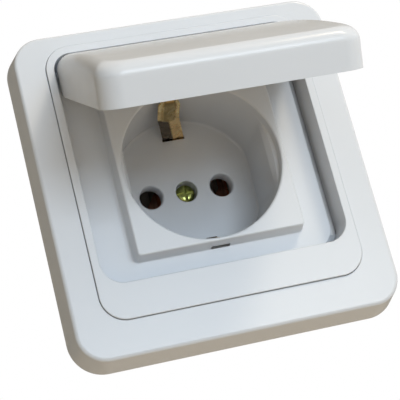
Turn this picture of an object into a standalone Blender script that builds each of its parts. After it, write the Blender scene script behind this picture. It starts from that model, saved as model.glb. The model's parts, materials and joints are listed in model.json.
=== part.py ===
"""Earthed flush wall socket with a hinged cover, modelled piece by piece.

Metres, +Z up, +X right. The wall surface is the plane Y = 0, the front faces -Y
and the works reach back into the wall box at +Y. The origin lies on the axis of
the plug well. Heights over the wall are given as positive numbers and are placed
at minus that value on Y; depths behind the wall are placed at plus their value.
"""
import math

import bmesh
import bpy
import numpy as np
from mathutils import Matrix

# Clearances
SEAT_GAP = 0.0003
SHADOW_GAP = 0.0003
RUNNING_GAP = 0.00025
THREAD_GAP = 0.0003

# Lid, the size that the recess and the frames are made round
LID_WIDTH = 0.0598
LID_LENGTH = 0.0577
LID_GAP = 0.0008
LID_HINGE_RADIUS = 0.00475
LID_WALL = 0.0018
LID_CROWN = 0.0012
LID_END_EDGE = 0.0030
LID_SIDE_EDGE = 0.0020
LID_END_CORNER = 0.0042
LID_HINGE_CORNER = 0.0010
LID_LIP = 0.0010
LID_REST_ANGLE = 63.0
HINGE_PIN_RADIUS = 0.0010
HINGE_PIN_BITE = 0.0020
HINGE_EAR_RADIUS = 0.0025
HINGE_EAR_WIDTH = 0.0040
HINGE_EAR_INSET = 0.0017
HINGE_SIDE_GAP = 0.0005
LID_BOSS_RADIUS = 0.0026
LID_BOSS_LENGTH = 0.0013

# Insert frame with the recess for the lid
RECESS_TOP = 0.0327
RECESS_LOW_RADIUS = 0.0055
RECESS_HIGH_RADIUS = 0.0025
RECESS_DRAFT = 0.0003
LAND_SIDE = 0.0019
LAND_TOP = 0.0018
APRON = 0.0087
INSERT_FACE = 0.0095
INSERT_CORNER_RADIUS = 0.0062
INSERT_EDGE_RADIUS = 0.0004
SILL_WIDTH = 0.0018
SILL_TOP = 0.0024
SILL_WALL = 0.0016

# Outer frame
BORDER_SIDE = 0.0087
BORDER_TOP = 0.0048
BORDER_BOTTOM = 0.0100
FRAME_FACE = 0.0090
FRAME_DRAFT = 0.0012
FRAME_EDGE_RADIUS = 0.0018
FRAME_CORNER_RADIUS = 0.0085
FRAME_WALL = 0.0018
FRAME_LEDGE_DEPTH = 0.0043
FRAME_LEDGE_WIDTH = 0.0010
FRAME_RIB = 0.0010

# Socket cover: plate, raised block and plug well in one moulding
PLATE_FLOOR = 0.0035
PLATE_LIP = 0.0008
PLATE_WALL = 0.00125
PLATE_RIM = 0.0014
BLOCK_WIDTH = 0.0420
BLOCK_TOP = 0.0215
BLOCK_BOTTOM = -0.0206
BLOCK_FACE = 0.0079
BLOCK_RADIUS = 0.0008
BLOCK_DRAFT = 0.0005
BLOCK_EDGE_RADIUS = 0.0005
BLOCK_WALL = 0.0014
WELL_RADIUS = 0.0198
WELL_DRAFT = 0.0003
WELL_DEPTH = 0.0230
WELL_CHAMFER = 0.0004
WELL_WALL = 0.0015
WELL_FLOOR = 0.0018
PIN_SPACING = 0.0190
PIN_HOLE_RADIUS = 0.00305
SCREW_RECESS_RADIUS = 0.00285
SCREW_BOSS_WALL = 0.0013
SCREW_BOSS_DEPTH = 0.0032
KEY_HALF_WIDTH = 0.0062
KEY_PROUD = 0.0020
KEY_FLANK = 0.0014
KEY_SETBACK = 0.0030

# Socket base behind the wall
BASE_WIDTH = 0.0458
BASE_HEIGHT = 0.0468
BASE_CORNER_RADIUS = 0.0140
BASE_DEPTH = 0.0373
BASE_EDGE_RADIUS = 0.0012
POST_CIRCLE_RADIUS = 0.0246
POST_RADIUS = 0.0013
POST_HEIGHT = 0.0017

# Support ring
RING_SIDE_MARGIN = 0.0040
RING_TOP_MARGIN = 0.0020
RING_THICKNESS = 0.0010
RING_CORNER_RADIUS = 0.0070
RING_HOLE_RADIUS = 0.0218
FIXING_CIRCLE_RADIUS = 0.0300
FIXING_SLOT_RADIUS = 0.0019
FIXING_SLOT_LENGTH = 0.0050

# Earth strap
STRAP_WIDTH = 0.0055
STRAP_THICKNESS = 0.0006
STRAP_ARM = 0.0186
STRAP_CREASE = 0.0156
STRAP_CREASE_DEPTH = 0.0008
STRAP_TIP = 0.0192
STRAP_TIP_HEIGHT = 0.0060
STRAP_BEND_DEPTH = 0.0060
STRAP_EYE_RADIUS = 0.0062

# Screws and threaded pieces
CENTRE_SCREW_RADIUS = 0.0015
CENTRE_HEAD_HEIGHT = 0.0016
CENTRE_SCREW_LENGTH = 0.0120
CENTRE_SLOT_WIDTH = 0.0008
BUSH_RADIUS = 0.0031
BUSH_LENGTH = 0.0080
TERMINAL_SCREW_RADIUS = 0.0014
TERMINAL_HEAD_RADIUS = 0.0023
TERMINAL_HEAD_HEIGHT = 0.0018
TERMINAL_HEAD_LIFT = 0.0040
TERMINAL_SLOT_WIDTH = 0.0007

# Contacts and terminals
CONTACT_GAP = 0.0047
CONTACT_SHEET = 0.0005
CONTACT_HEIGHT = 0.0060
CONTACT_FRONT = 0.0020
CONTACT_LENGTH = 0.0160
TERMINAL_SIZE_X = 0.0058
TERMINAL_SIZE_Y = 0.0080
TERMINAL_SIZE_Z = 0.0080
TERMINAL_LOW = 0.0055
TERMINAL_SETBACK = 0.0044
TONGUE_WIDTH = 0.0050
WIRE_HOLE_RADIUS = 0.0016
EARTH_TERMINAL_LOW = -0.0170
EARTH_TERMINAL_DEPTH = 0.0070

# Spreader claws
CLAW_SHEET = 0.0010
CLAW_WIDTH = 0.0090
CLAW_LENGTH = 0.0240
CLAW_LEG = 0.0024
CLAW_TOOTH = 0.0028
CLAW_NECK = 0.0050
CLAW_PIVOT_DEPTH = -0.0005
CLAW_LUG_DEPTH = 0.0042
CLAW_LUG_REACH = 0.0048
CLAW_SCREW_OFFSET = 0.0035
CLAW_SCREW_RADIUS = 0.0013
CLAW_SCREW_LENGTH = 0.0140
CLAW_HEAD_RADIUS = 0.0022
CLAW_HEAD_HEIGHT = 0.0008

# Facets
MERGE_DISTANCE = 0.000002
CORNER_STEPS = 6
WELL_SIDES = 48
SCREW_SIDES = 20
ROUND_SIDES = 24
SMOOTH_ANGLE = 35.0

# Colours, roughness
WHITE = (0.80, 0.81, 0.83)
INNER_GREY = (0.62, 0.63, 0.62)
BRASS = (0.78, 0.60, 0.28)
COPPER = (0.72, 0.42, 0.28)
STEEL = (0.60, 0.60, 0.58)

# Sizes and places that follow from the sizes above
LID_REACH = LID_LENGTH - LID_HINGE_RADIUS
RECESS_WIDTH = LID_WIDTH + 2 * LID_GAP
RECESS_BOTTOM = RECESS_TOP - LID_LENGTH - 2 * LID_GAP
INSERT_WIDTH = RECESS_WIDTH + 2 * LAND_SIDE
INSERT_TOP = RECESS_TOP + LAND_TOP
INSERT_BOTTOM = RECESS_BOTTOM - APRON
FRAME_WIDTH = INSERT_WIDTH + 2 * BORDER_SIDE
FRAME_TOP = INSERT_TOP + BORDER_TOP
FRAME_BOTTOM = INSERT_BOTTOM - BORDER_BOTTOM
WELL_FLOOR_Y = WELL_DEPTH - BLOCK_FACE
CUP_BACK = WELL_FLOOR_Y + WELL_FLOOR
CUP_RADIUS = WELL_RADIUS + WELL_WALL
CUP_FRONT_RADIUS = min(BLOCK_WIDTH / 2, -BLOCK_BOTTOM) - SEAT_GAP
BASE_FLOOR = CUP_BACK + SEAT_GAP
PLATE_BACK = PLATE_FLOOR - PLATE_WALL
TERMINAL_FRONT = BASE_FLOOR + TERMINAL_SETBACK
BOSS_BACK = CUP_BACK + SCREW_BOSS_DEPTH
BOSS_RADIUS = SCREW_RECESS_RADIUS + SCREW_BOSS_WALL
HINGE_Z = RECESS_TOP - LID_HINGE_RADIUS - LID_GAP
HINGE_HEIGHT = PLATE_FLOOR + LID_HINGE_RADIUS + SEAT_GAP
EAR_OUTER = LID_WIDTH / 2 - LID_WALL - HINGE_EAR_INSET
LID_BOSS_INNER = LID_WIDTH / 2 - LID_WALL - LID_BOSS_LENGTH
STRAP_BACK = BASE_FLOOR + SEAT_GAP + STRAP_THICKNESS
BLADE_X = BASE_WIDTH / 2 + SEAT_GAP
CLAW_PIVOT_X = BLADE_X + CLAW_SHEET / 2
CLAW_SCREW_X = CLAW_PIVOT_X + CLAW_SCREW_OFFSET
TERMINAL_X = PIN_SPACING / 2 + CONTACT_GAP / 2 + CONTACT_SHEET + SEAT_GAP
TERMINAL_MID_X = TERMINAL_X + TERMINAL_SIZE_X / 2
TERMINAL_MID_Y = TERMINAL_FRONT + TERMINAL_SIZE_Y / 2


def clear_scene():
    """Remove whatever the file holds before the model is made."""
    for item in list(bpy.data.objects):
        bpy.data.objects.remove(item, do_unlink=True)


def finish_material(name, colour, roughness, metallic=0.0):
    """One Principled material for one piece."""
    material = bpy.data.materials.new(name)
    material.use_nodes = True
    shader = material.node_tree.nodes["Principled BSDF"]
    shader.inputs["Base Color"].default_value = (*colour, 1.0)
    shader.inputs["Roughness"].default_value = roughness
    shader.inputs["Metallic"].default_value = metallic
    return material


def add_object(name, mesh):
    """Put a mesh into the scene as a named object."""
    item = bpy.data.objects.new(name, mesh)
    bpy.context.collection.objects.link(item)
    return item


def mesh_from_loops(name, loops, capped=True):
    """Skin a row of loops with equal counts; ends are capped, or joined into a ring."""
    form = bmesh.new()
    rows = [[form.verts.new(point) for point in loop] for loop in loops]
    pairs = list(zip(rows, rows[1:]))
    if not capped:
        pairs.append((rows[-1], rows[0]))
    for near, far in pairs:
        for i in range(len(near)):
            j = (i + 1) % len(near)
            form.faces.new((near[i], near[j], far[j], far[i]))
    if capped:
        form.faces.new(rows[0])
        form.faces.new(rows[-1])
    bmesh.ops.recalc_face_normals(form, faces=form.faces)
    mesh = bpy.data.meshes.new(name)
    form.to_mesh(mesh)
    form.free()
    return mesh


def plan(half_width, low, high, low_radius, high_radius, steps=CORNER_STEPS):
    """Rounded rectangle in X and Z, its low and high corners with their own radii."""
    corners = (
        (half_width, high, high_radius, 0.0),
        (-half_width, high, high_radius, 90.0),
        (-half_width, low, low_radius, 180.0),
        (half_width, low, low_radius, 270.0),
    )
    arcs = []
    for x, z, radius, start in corners:
        angles = np.radians(np.linspace(start, start + 90.0, steps + 1))
        centre_x = x - math.copysign(radius, x)
        centre_z = z - radius if z == high else z + radius
        arcs.append(np.column_stack((centre_x + radius * np.cos(angles), centre_z + radius * np.sin(angles))))
    return np.vstack(arcs)


def at_depth(flat, y):
    """Lift an outline in X and Z to a depth on Y."""
    return np.column_stack((flat[:, 0], np.full(len(flat), y), flat[:, 1]))


def circle(radius, y, centre=(0.0, 0.0), sides=ROUND_SIDES):
    """Circle round a line along Y."""
    angles = np.arange(sides) * 2.0 * math.pi / sides
    flat = np.column_stack((centre[0] + radius * np.cos(angles), centre[1] + radius * np.sin(angles)))
    return at_depth(flat, y)


def turned(name, profile, centre=(0.0, 0.0), sides=ROUND_SIDES):
    """Turned solid along Y from (radius, y) pairs."""
    loops = [circle(radius, y, centre, sides) for radius, y in profile]
    return add_object(name, mesh_from_loops(name, loops))


def block(name, low, high):
    """Plain box between two corners, for cutting and joining."""
    x0, y0, z0 = low
    x1, y1, z1 = high
    loops = [[(x0, y, z0), (x1, y, z0), (x1, y, z1), (x0, y, z1)] for y in (y0, y1)]
    return add_object(name, mesh_from_loops(name, loops))


def extruded(name, outline, axis, start, end):
    """Outline carried along an axis: (y, z) pairs along X, (x, z) along Y, (x, y) along Z."""
    place = {
        "X": lambda a, b, c: (c, a, b),
        "Y": lambda a, b, c: (a, c, b),
        "Z": lambda a, b, c: (a, b, c),
    }[axis]
    loops = [[place(a, b, c) for a, b in outline] for c in (start, end)]
    return add_object(name, mesh_from_loops(name, loops))


def turn_along(item, axis):
    """Turn a solid made along Y to stand along X or Z."""
    turn = Matrix.Rotation(math.radians(-90.0), 4, "Z") if axis == "X" else Matrix.Rotation(math.radians(90.0), 4, "X")
    item.data.transform(turn)
    return item


def shift(item, x=0.0, y=0.0, z=0.0):
    """Move a solid's mesh."""
    item.data.transform(Matrix.Translation((x, y, z)))
    return item


def combine(body, tool, operation):
    """Cut, join or intersect a body with a tool solid, and drop the tool."""
    modifier = body.modifiers.new(operation.title(), "BOOLEAN")
    modifier.operation = operation
    modifier.object = tool
    bpy.context.view_layer.update()
    result = bpy.data.meshes.new_from_object(body.evaluated_get(bpy.context.evaluated_depsgraph_get()))
    body.modifiers.clear()
    form = bmesh.new()
    form.from_mesh(result)
    bmesh.ops.remove_doubles(form, verts=form.verts, dist=MERGE_DISTANCE)
    form.to_mesh(result)
    form.free()
    body.data = result
    bpy.data.objects.remove(tool, do_unlink=True)
    return body


def cut(body, *tools):
    """Cut each tool out of the body."""
    for tool in tools:
        combine(body, tool, "DIFFERENCE")
    return body


def join(body, *tools):
    """Join each tool to the body."""
    for tool in tools:
        combine(body, tool, "UNION")
    return body


def dress(item, material, name=None):
    """Give a finished piece its name, material and smooth shading."""
    if name:
        item.name = name
    item.data.name = item.name
    item.data.materials.clear()
    item.data.materials.append(material)
    item.data.shade_smooth()
    item.data.set_sharp_from_angle(angle=math.radians(SMOOTH_ANGLE))
    return item


def mirrored(item, name, material):
    """Left-hand twin of a right-hand piece, turned right side out again."""
    mesh = item.data.copy()
    mesh.transform(Matrix.Scale(-1.0, 4, (1.0, 0.0, 0.0)))
    mesh.flip_normals()
    twin = add_object(name, mesh)
    return dress(twin, material)


def slotted_head(name, radius, start, height, slot_width):
    """Cutter for a cross slot in a head that faces -Y."""
    depth = height * 0.55
    across = block(name, (-radius, start - height, -slot_width / 2), (radius, start + depth, slot_width / 2))
    upright = block(name, (-slot_width / 2, start - height, -radius), (slot_width / 2, start + depth, radius))
    return join(across, upright)


# Outer frame

def frame_loop(inset, height):
    """Outline of the frame, drawn in from its outline at the wall."""
    radius = FRAME_CORNER_RADIUS - inset * 0.7
    flat = plan(FRAME_WIDTH / 2 - inset, FRAME_BOTTOM + inset, FRAME_TOP - inset, radius, radius)
    return at_depth(flat, -height)


def opening_loop(grow, height):
    """Outline of the insert frame, grown outwards, at a height over the wall."""
    radius = INSERT_CORNER_RADIUS + grow
    flat = plan(INSERT_WIDTH / 2 + grow, INSERT_BOTTOM - grow, INSERT_TOP + grow, radius, radius)
    return at_depth(flat, -height)


def build_outer_frame():
    """Thin drafted shell with rounded front edge, stepped skirt round the opening, and ribs."""
    edge_start = FRAME_FACE - FRAME_EDGE_RADIUS
    loops = [frame_loop(0.0, 0.0)]
    for angle in np.radians((0.0, 22.5, 45.0, 67.5, 90.0)):
        inset = FRAME_DRAFT + FRAME_EDGE_RADIUS * (1.0 - math.cos(angle))
        loops.append(frame_loop(inset, edge_start + FRAME_EDGE_RADIUS * math.sin(angle)))
    skirt = SHADOW_GAP + FRAME_WALL
    inner_face = FRAME_FACE - FRAME_WALL
    foot = RING_THICKNESS + SEAT_GAP
    loops += [
        opening_loop(SHADOW_GAP + INSERT_EDGE_RADIUS, FRAME_FACE),
        opening_loop(SHADOW_GAP, FRAME_FACE - INSERT_EDGE_RADIUS),
        opening_loop(SHADOW_GAP, FRAME_LEDGE_DEPTH),
        opening_loop(SHADOW_GAP - FRAME_LEDGE_WIDTH, FRAME_LEDGE_DEPTH),
        opening_loop(SHADOW_GAP - FRAME_LEDGE_WIDTH, foot),
        opening_loop(skirt - FRAME_LEDGE_WIDTH, foot),
        opening_loop(skirt, FRAME_LEDGE_DEPTH - FRAME_WALL * 0.5),
        opening_loop(skirt, inner_face),
        frame_loop(FRAME_DRAFT + FRAME_WALL, inner_face),
        frame_loop(FRAME_WALL, 0.0),
    ]
    frame = add_object("outer_frame", mesh_from_loops("outer_frame", loops, capped=False))
    side_rib_inner = INSERT_WIDTH / 2 + skirt - SEAT_GAP
    side_rib_outer = FRAME_WIDTH / 2 - FRAME_WALL * 0.7
    for z in (INSERT_BOTTOM * 0.55, (FRAME_TOP + FRAME_BOTTOM) / 2, INSERT_TOP * 0.55):
        for side in (-1.0, 1.0):
            ends = sorted((side * side_rib_inner, side * side_rib_outer))
            rib = block("rib", (ends[0], -inner_face - SEAT_GAP, z - FRAME_RIB / 2),
                        (ends[1], -foot - RING_THICKNESS, z + FRAME_RIB / 2))
            join(frame, rib)
    return dress(frame, finish_material("frame_white", WHITE, 0.25))


# Insert frame

def recess_loop(inset, height):
    """Outline of the recess, drawn in from its mouth."""
    low_radius = max(RECESS_LOW_RADIUS - inset, RECESS_LOW_RADIUS * 0.3)
    high_radius = max(RECESS_HIGH_RADIUS - inset, RECESS_HIGH_RADIUS * 0.3)
    flat = plan(RECESS_WIDTH / 2 - inset, RECESS_BOTTOM + inset, RECESS_TOP - inset, low_radius, high_radius)
    return at_depth(flat, -height)


def claw_screw_relief(side, top):
    """Cutter that frees a claw screw's head from a moulding over the ring."""
    radius = CLAW_HEAD_RADIUS + SEAT_GAP
    return turned("relief", [(radius, -top), (radius, 0.0)], centre=(side * CLAW_SCREW_X, 0.0), sides=SCREW_SIDES)


def build_insert_frame():
    """Surround with the recess for the lid and a sill that the socket cover presses on."""
    flange_under = FRAME_LEDGE_DEPTH + SEAT_GAP
    lower_outline = SHADOW_GAP - FRAME_LEDGE_WIDTH - SEAT_GAP
    foot = RING_THICKNESS + SEAT_GAP
    loops = [
        opening_loop(lower_outline, foot),
        opening_loop(lower_outline, flange_under),
        opening_loop(0.0, flange_under),
        opening_loop(0.0, INSERT_FACE - INSERT_EDGE_RADIUS),
        opening_loop(-INSERT_EDGE_RADIUS, INSERT_FACE),
        recess_loop(-INSERT_EDGE_RADIUS, INSERT_FACE),
        recess_loop(0.0, INSERT_FACE - INSERT_EDGE_RADIUS),
        recess_loop(RECESS_DRAFT, SILL_TOP),
        recess_loop(RECESS_DRAFT + SILL_WIDTH, SILL_TOP),
        recess_loop(RECESS_DRAFT + SILL_WIDTH, foot),
    ]
    insert = add_object("insert_frame", mesh_from_loops("insert_frame", loops, capped=False))
    apron_high = RECESS_BOTTOM - SILL_WALL
    apron_low = INSERT_BOTTOM - lower_outline + SILL_WALL
    if apron_high - apron_low > SILL_WALL:
        half = INSERT_WIDTH / 2 - INSERT_CORNER_RADIUS
        hollow = block("hollow", (-half, -INSERT_FACE + SILL_WALL, apron_low), (half, 0.0, apron_high))
        cut(insert, hollow)
        web = block("web", (-FRAME_RIB / 2, -INSERT_FACE + SILL_WALL / 2, apron_low - SILL_WALL / 2),
                    (FRAME_RIB / 2, -foot - RING_THICKNESS, apron_high + SILL_WALL / 2))
        join(insert, web)
    for side in (-1.0, 1.0):
        cut(insert, claw_screw_relief(side, SILL_TOP + SEAT_GAP))
    return dress(insert, finish_material("insert_white", WHITE, 0.25))


# Socket cover

def plate_loop(inset, height):
    """Outline of the cover's plate at the foot of the recess."""
    return recess_loop(RECESS_DRAFT + SHADOW_GAP + inset, height)


def block_loop(inset, height):
    """Outline of the raised block, drawn in from its front edge."""
    radius = max(BLOCK_RADIUS - inset, BLOCK_RADIUS * 0.3)
    flat = plan(BLOCK_WIDTH / 2 - inset, BLOCK_BOTTOM + inset, BLOCK_TOP - inset, radius, radius)
    return at_depth(flat, -height)


def build_cover_shell():
    """Plate with its half-lapped rim, hollow underneath, and the raised block on it."""
    rebate = SILL_WIDTH
    lip_under = PLATE_FLOOR - PLATE_LIP
    foot = RING_THICKNESS + SEAT_GAP
    plate_loops = [
        plate_loop(0.0, lip_under),
        plate_loop(0.0, PLATE_FLOOR - INSERT_EDGE_RADIUS / 2),
        plate_loop(INSERT_EDGE_RADIUS / 2, PLATE_FLOOR),
    ]
    cover = add_object("socket_cover", mesh_from_loops("socket_cover", plate_loops))
    rim_loops = [plate_loop(rebate, height) for height in (foot, lip_under + PLATE_LIP / 2)]
    join(cover, add_object("rim", mesh_from_loops("rim", rim_loops)))
    inner_loops = [plate_loop(rebate + PLATE_RIM, height) for height in (0.0, PLATE_BACK)]
    cut(cover, add_object("under", mesh_from_loops("under", inner_loops)))
    edge = BLOCK_FACE - BLOCK_EDGE_RADIUS
    block_loops = [
        block_loop(-BLOCK_DRAFT, PLATE_BACK + PLATE_WALL / 2),
        block_loop(0.0, edge),
        block_loop(BLOCK_EDGE_RADIUS * 0.3, edge + BLOCK_EDGE_RADIUS * 0.7),
        block_loop(BLOCK_EDGE_RADIUS, BLOCK_FACE),
    ]
    join(cover, add_object("raised_block", mesh_from_loops("raised_block", block_loops)))
    hollow_loops = [block_loop(BLOCK_WALL - BLOCK_DRAFT, 0.0), block_loop(BLOCK_WALL, BLOCK_FACE - BLOCK_WALL)]
    cut(cover, add_object("block_hollow", mesh_from_loops("block_hollow", hollow_loops)))
    return cover


def key_rib(side):
    """Guide rib on the well's wall, with sloping flanks and a lead-in at its front end."""
    back = WELL_RADIUS + WELL_WALL / 2
    crest = WELL_RADIUS - KEY_PROUD
    foot_half = KEY_HALF_WIDTH
    crest_half = KEY_HALF_WIDTH - KEY_FLANK
    front = KEY_SETBACK - BLOCK_FACE

    def section(y, proud):
        inner = back - (back - crest) * proud
        return [(side * back, y, -foot_half), (side * inner, y, -crest_half),
                (side * inner, y, crest_half), (side * back, y, foot_half)]

    loops = [section(front, 0.5), section(front + KEY_PROUD, 1.0), section(WELL_FLOOR_Y + WELL_FLOOR / 2, 1.0)]
    return add_object("key", mesh_from_loops("key", loops))


def hinge_ear(side):
    """Ear that carries the hinge pin: rounded over the axis, with a flared foot."""
    angles = np.radians(np.linspace(0.0, 180.0, 13))
    outline = [(-HINGE_HEIGHT - HINGE_EAR_RADIUS * math.sin(a), HINGE_Z + HINGE_EAR_RADIUS * math.cos(a))
               for a in angles]
    root = -PLATE_BACK - PLATE_WALL / 2
    outline += [(root, HINGE_Z - HINGE_EAR_RADIUS), (root, HINGE_Z + HINGE_EAR_RADIUS)]
    ends = sorted((side * EAR_OUTER, side * (EAR_OUTER - HINGE_EAR_WIDTH)))
    return extruded("ear", outline, "X", *ends)


def pin_bore(start, end):
    """Cutter for a hinge pin's bore along X."""
    bore = turned("bore", [(HINGE_PIN_RADIUS + RUNNING_GAP, start), (HINGE_PIN_RADIUS + RUNNING_GAP, end)])
    turn_along(bore, "X")
    return shift(bore, y=-HINGE_HEIGHT, z=HINGE_Z)


def build_socket_cover():
    """One moulding: plate, block, deep plug well, guide ribs, screw boss and hinge ears."""
    cover = build_cover_shell()
    step = -PLATE_BACK - PLATE_WALL / 2
    cup = turned("cup", [
        (CUP_FRONT_RADIUS, -BLOCK_FACE + BLOCK_WALL / 2), (CUP_FRONT_RADIUS, step),
        (CUP_RADIUS, step), (CUP_RADIUS - WELL_DRAFT, CUP_BACK),
    ], sides=WELL_SIDES)
    boss = turned("boss", [(BOSS_RADIUS, WELL_FLOOR_Y), (BOSS_RADIUS, BOSS_BACK)])
    join(cover, cup, boss)
    well = turned("well", [
        (WELL_RADIUS + WELL_CHAMFER * 2, -BLOCK_FACE - WELL_CHAMFER),
        (WELL_RADIUS, -BLOCK_FACE + WELL_CHAMFER),
        (WELL_RADIUS - WELL_DRAFT, WELL_FLOOR_Y),
    ], sides=WELL_SIDES)
    cut(cover, well)
    join(cover, key_rib(1.0), key_rib(-1.0))
    for side in (-1.0, 1.0):
        centre = (side * PIN_SPACING / 2, 0.0)
        cut(cover, turned("pin_hole", [
            (PIN_HOLE_RADIUS + WELL_CHAMFER * 2, WELL_FLOOR_Y - WELL_CHAMFER),
            (PIN_HOLE_RADIUS, WELL_FLOOR_Y + WELL_CHAMFER),
            (PIN_HOLE_RADIUS, CUP_BACK + WELL_FLOOR),
        ], centre))
    head_seat = BOSS_BACK - SCREW_BOSS_WALL
    cut(cover,
        turned("recess", [(SCREW_RECESS_RADIUS, WELL_FLOOR_Y - WELL_FLOOR), (SCREW_RECESS_RADIUS, head_seat)]),
        turned("shank", [(CENTRE_SCREW_RADIUS + THREAD_GAP, head_seat - WELL_FLOOR),
                         (CENTRE_SCREW_RADIUS + THREAD_GAP, BOSS_BACK + WELL_FLOOR)]))
    slot_half = STRAP_WIDTH / 2 + SEAT_GAP
    slot_inner = STRAP_ARM - STRAP_THICKNESS / 2 - SEAT_GAP
    slot_outer = STRAP_ARM + STRAP_THICKNESS / 2 + SEAT_GAP
    tip_outer = STRAP_TIP + STRAP_THICKNESS / 2 + SEAT_GAP
    tip_height = STRAP_TIP_HEIGHT + SEAT_GAP * 2
    for side in (-1.0, 1.0):
        through = sorted((side * slot_inner, side * max(slot_outer, tip_outer)))
        cut(cover, block("slot", (-slot_half, -tip_height, through[0]), (slot_half, CUP_BACK + WELL_FLOOR, through[1])))
    for side in (-1.0, 1.0):
        cut(cover, claw_screw_relief(side, PLATE_BACK))
        join(cover, hinge_ear(side))
        ends = sorted((side * (EAR_OUTER + HINGE_SIDE_GAP), side * (EAR_OUTER - HINGE_EAR_WIDTH - HINGE_SIDE_GAP)))
        cut(cover, pin_bore(*ends))
    return dress(cover, finish_material("cover_white", WHITE, 0.25))


# Lid

def lid_loop(rise, width_inset, end_inset, hinge_reach, corner, hinge_corner):
    """Loop round the lid at a rise over the hinge axis, crowned along its length."""
    half = LID_WIDTH / 2 - width_inset
    low = -LID_REACH + end_inset
    run = np.linspace(hinge_reach - hinge_corner, low + corner, 9)[1:-1]
    high_arc = np.radians(np.linspace(90.0, 0.0, 4))
    low_arc = np.radians(np.linspace(0.0, -90.0, 6))
    x = np.concatenate((half - hinge_corner + hinge_corner * np.cos(high_arc), np.full(len(run), half),
                        half - corner + corner * np.cos(low_arc)))
    z = np.concatenate((hinge_reach - hinge_corner + hinge_corner * np.sin(high_arc), run,
                        low + corner + corner * np.sin(low_arc)))
    middle = (LID_HINGE_RADIUS - LID_REACH) / 2
    span = (LID_HINGE_RADIUS + LID_REACH) / 2
    share = (rise + LID_HINGE_RADIUS) / (2.0 * LID_HINGE_RADIUS)
    crown = LID_CROWN * share * (1.0 - ((z - middle) / span) ** 2)
    right = np.column_stack((x, -(rise + crown), z))
    left = right[::-1] * np.array((-1.0, 1.0, 1.0))
    return np.vstack((right, left))


def lid_levels(wall):
    """Loops of the lid's outer face, or of its inner face with a wall given, from rim to top."""
    levels = []
    top = LID_HINGE_RADIUS - wall
    end_edge = max(LID_END_EDGE - wall, LID_END_EDGE * 0.25)
    side_edge = max(LID_SIDE_EDGE - wall, LID_SIDE_EDGE * 0.25)
    first = -90.0 if wall == 0.0 else -45.0
    for angle in np.radians(np.linspace(first, 90.0, 13 if wall == 0.0 else 10)):
        rise = top * math.sin(angle)
        reach = top * math.cos(angle)
        end_over = max(rise - (top - end_edge), 0.0)
        side_over = max(rise - (top - side_edge), 0.0)
        end_round = end_edge - math.sqrt(end_edge ** 2 - end_over ** 2)
        side_round = side_edge - math.sqrt(side_edge ** 2 - side_over ** 2)
        corner = LID_END_CORNER - wall
        hinge_corner = max(LID_HINGE_CORNER - wall, LID_HINGE_CORNER * 0.3)
        levels.append(lid_loop(rise, wall + side_round, wall + end_round, reach, corner, hinge_corner))
    if wall > 0.0:
        rim = lid_loop(-LID_HINGE_RADIUS, wall, wall, -LID_LIP, LID_END_CORNER - wall, LID_HINGE_CORNER * 0.3)
        levels.insert(0, rim)
    return levels


def lid_mesh():
    """Closed shell: outer face, rim, inner face, each top closed by strips across the lid."""
    outer = lid_levels(0.0)
    inner = lid_levels(LID_WALL)
    form = bmesh.new()
    rows = [[form.verts.new(point) for point in loop] for loop in reversed(outer)]
    rows += [[form.verts.new(point) for point in loop] for loop in inner]
    count = len(rows[0])
    for near, far in zip(rows, rows[1:]):
        for i in range(count):
            j = (i + 1) % count
            form.faces.new((near[i], near[j], far[j], far[i]))
    for row in (rows[0], rows[-1]):
        for i in range(count // 2 - 1):
            form.faces.new((row[i], row[i + 1], row[count - 2 - i], row[count - 1 - i]))
    bmesh.ops.recalc_face_normals(form, faces=form.faces)
    mesh = bpy.data.meshes.new("lid")
    form.to_mesh(mesh)
    form.free()
    return mesh


def build_lid():
    """Shallow shell lid, rounded about its hinge, windows for the ears and blind pin bosses."""
    lid = add_object("lid", lid_mesh())
    inner = LID_HINGE_RADIUS - LID_WALL
    for side in (-1.0, 1.0):
        ends = sorted((side * (EAR_OUTER + HINGE_SIDE_GAP), side * (EAR_OUTER - HINGE_EAR_WIDTH - HINGE_SIDE_GAP)))
        window = block("window", (ends[0], -inner + SEAT_GAP / 2, -LID_LIP * 2),
                       (ends[1], LID_HINGE_RADIUS * 1.5, LID_HINGE_RADIUS * 1.5))
        cut(lid, window)
        ends = sorted((side * LID_BOSS_INNER, side * (LID_WIDTH / 2 - LID_WALL / 2)))
        boss = turn_along(turned("boss", [(LID_BOSS_RADIUS, ends[0]), (LID_BOSS_RADIUS, ends[1])]), "X")
        join(lid, boss)
        ends = sorted((side * (LID_BOSS_INNER - HINGE_SIDE_GAP), side * (LID_BOSS_INNER + HINGE_PIN_BITE)))
        radius = HINGE_PIN_RADIUS + RUNNING_GAP
        bore = turn_along(turned("bore", [(radius, ends[0]), (radius, ends[1])]), "X")
        cut(lid, bore)
    lid.location = (0.0, -HINGE_HEIGHT, HINGE_Z)
    lid.rotation_euler = (-math.radians(LID_REST_ANGLE), 0.0, 0.0)
    return dress(lid, finish_material("lid_white", WHITE, 0.22))


def build_hinge_pins():
    """Two short steel pins, each through an ear and into the lid's side."""
    start = EAR_OUTER - HINGE_EAR_WIDTH + SEAT_GAP
    end = LID_BOSS_INNER + HINGE_PIN_BITE - SEAT_GAP
    tip = HINGE_PIN_RADIUS * 0.7
    profile = [(tip, start), (HINGE_PIN_RADIUS, start + SEAT_GAP), (HINGE_PIN_RADIUS, end - SEAT_GAP), (tip, end)]
    pin = shift(turn_along(turned("hinge_pin_right", profile, sides=SCREW_SIDES), "X"), y=-HINGE_HEIGHT, z=HINGE_Z)
    dress(pin, finish_material("pin_steel_right", STEEL, 0.3, 1.0))
    mirrored(pin, "hinge_pin_left", finish_material("pin_steel_left", STEEL, 0.3, 1.0))


# Screws

def centre_screw_seat():
    """Depth of the underside of the centre screw's head."""
    return BOSS_BACK - SCREW_BOSS_WALL - SEAT_GAP


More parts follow.
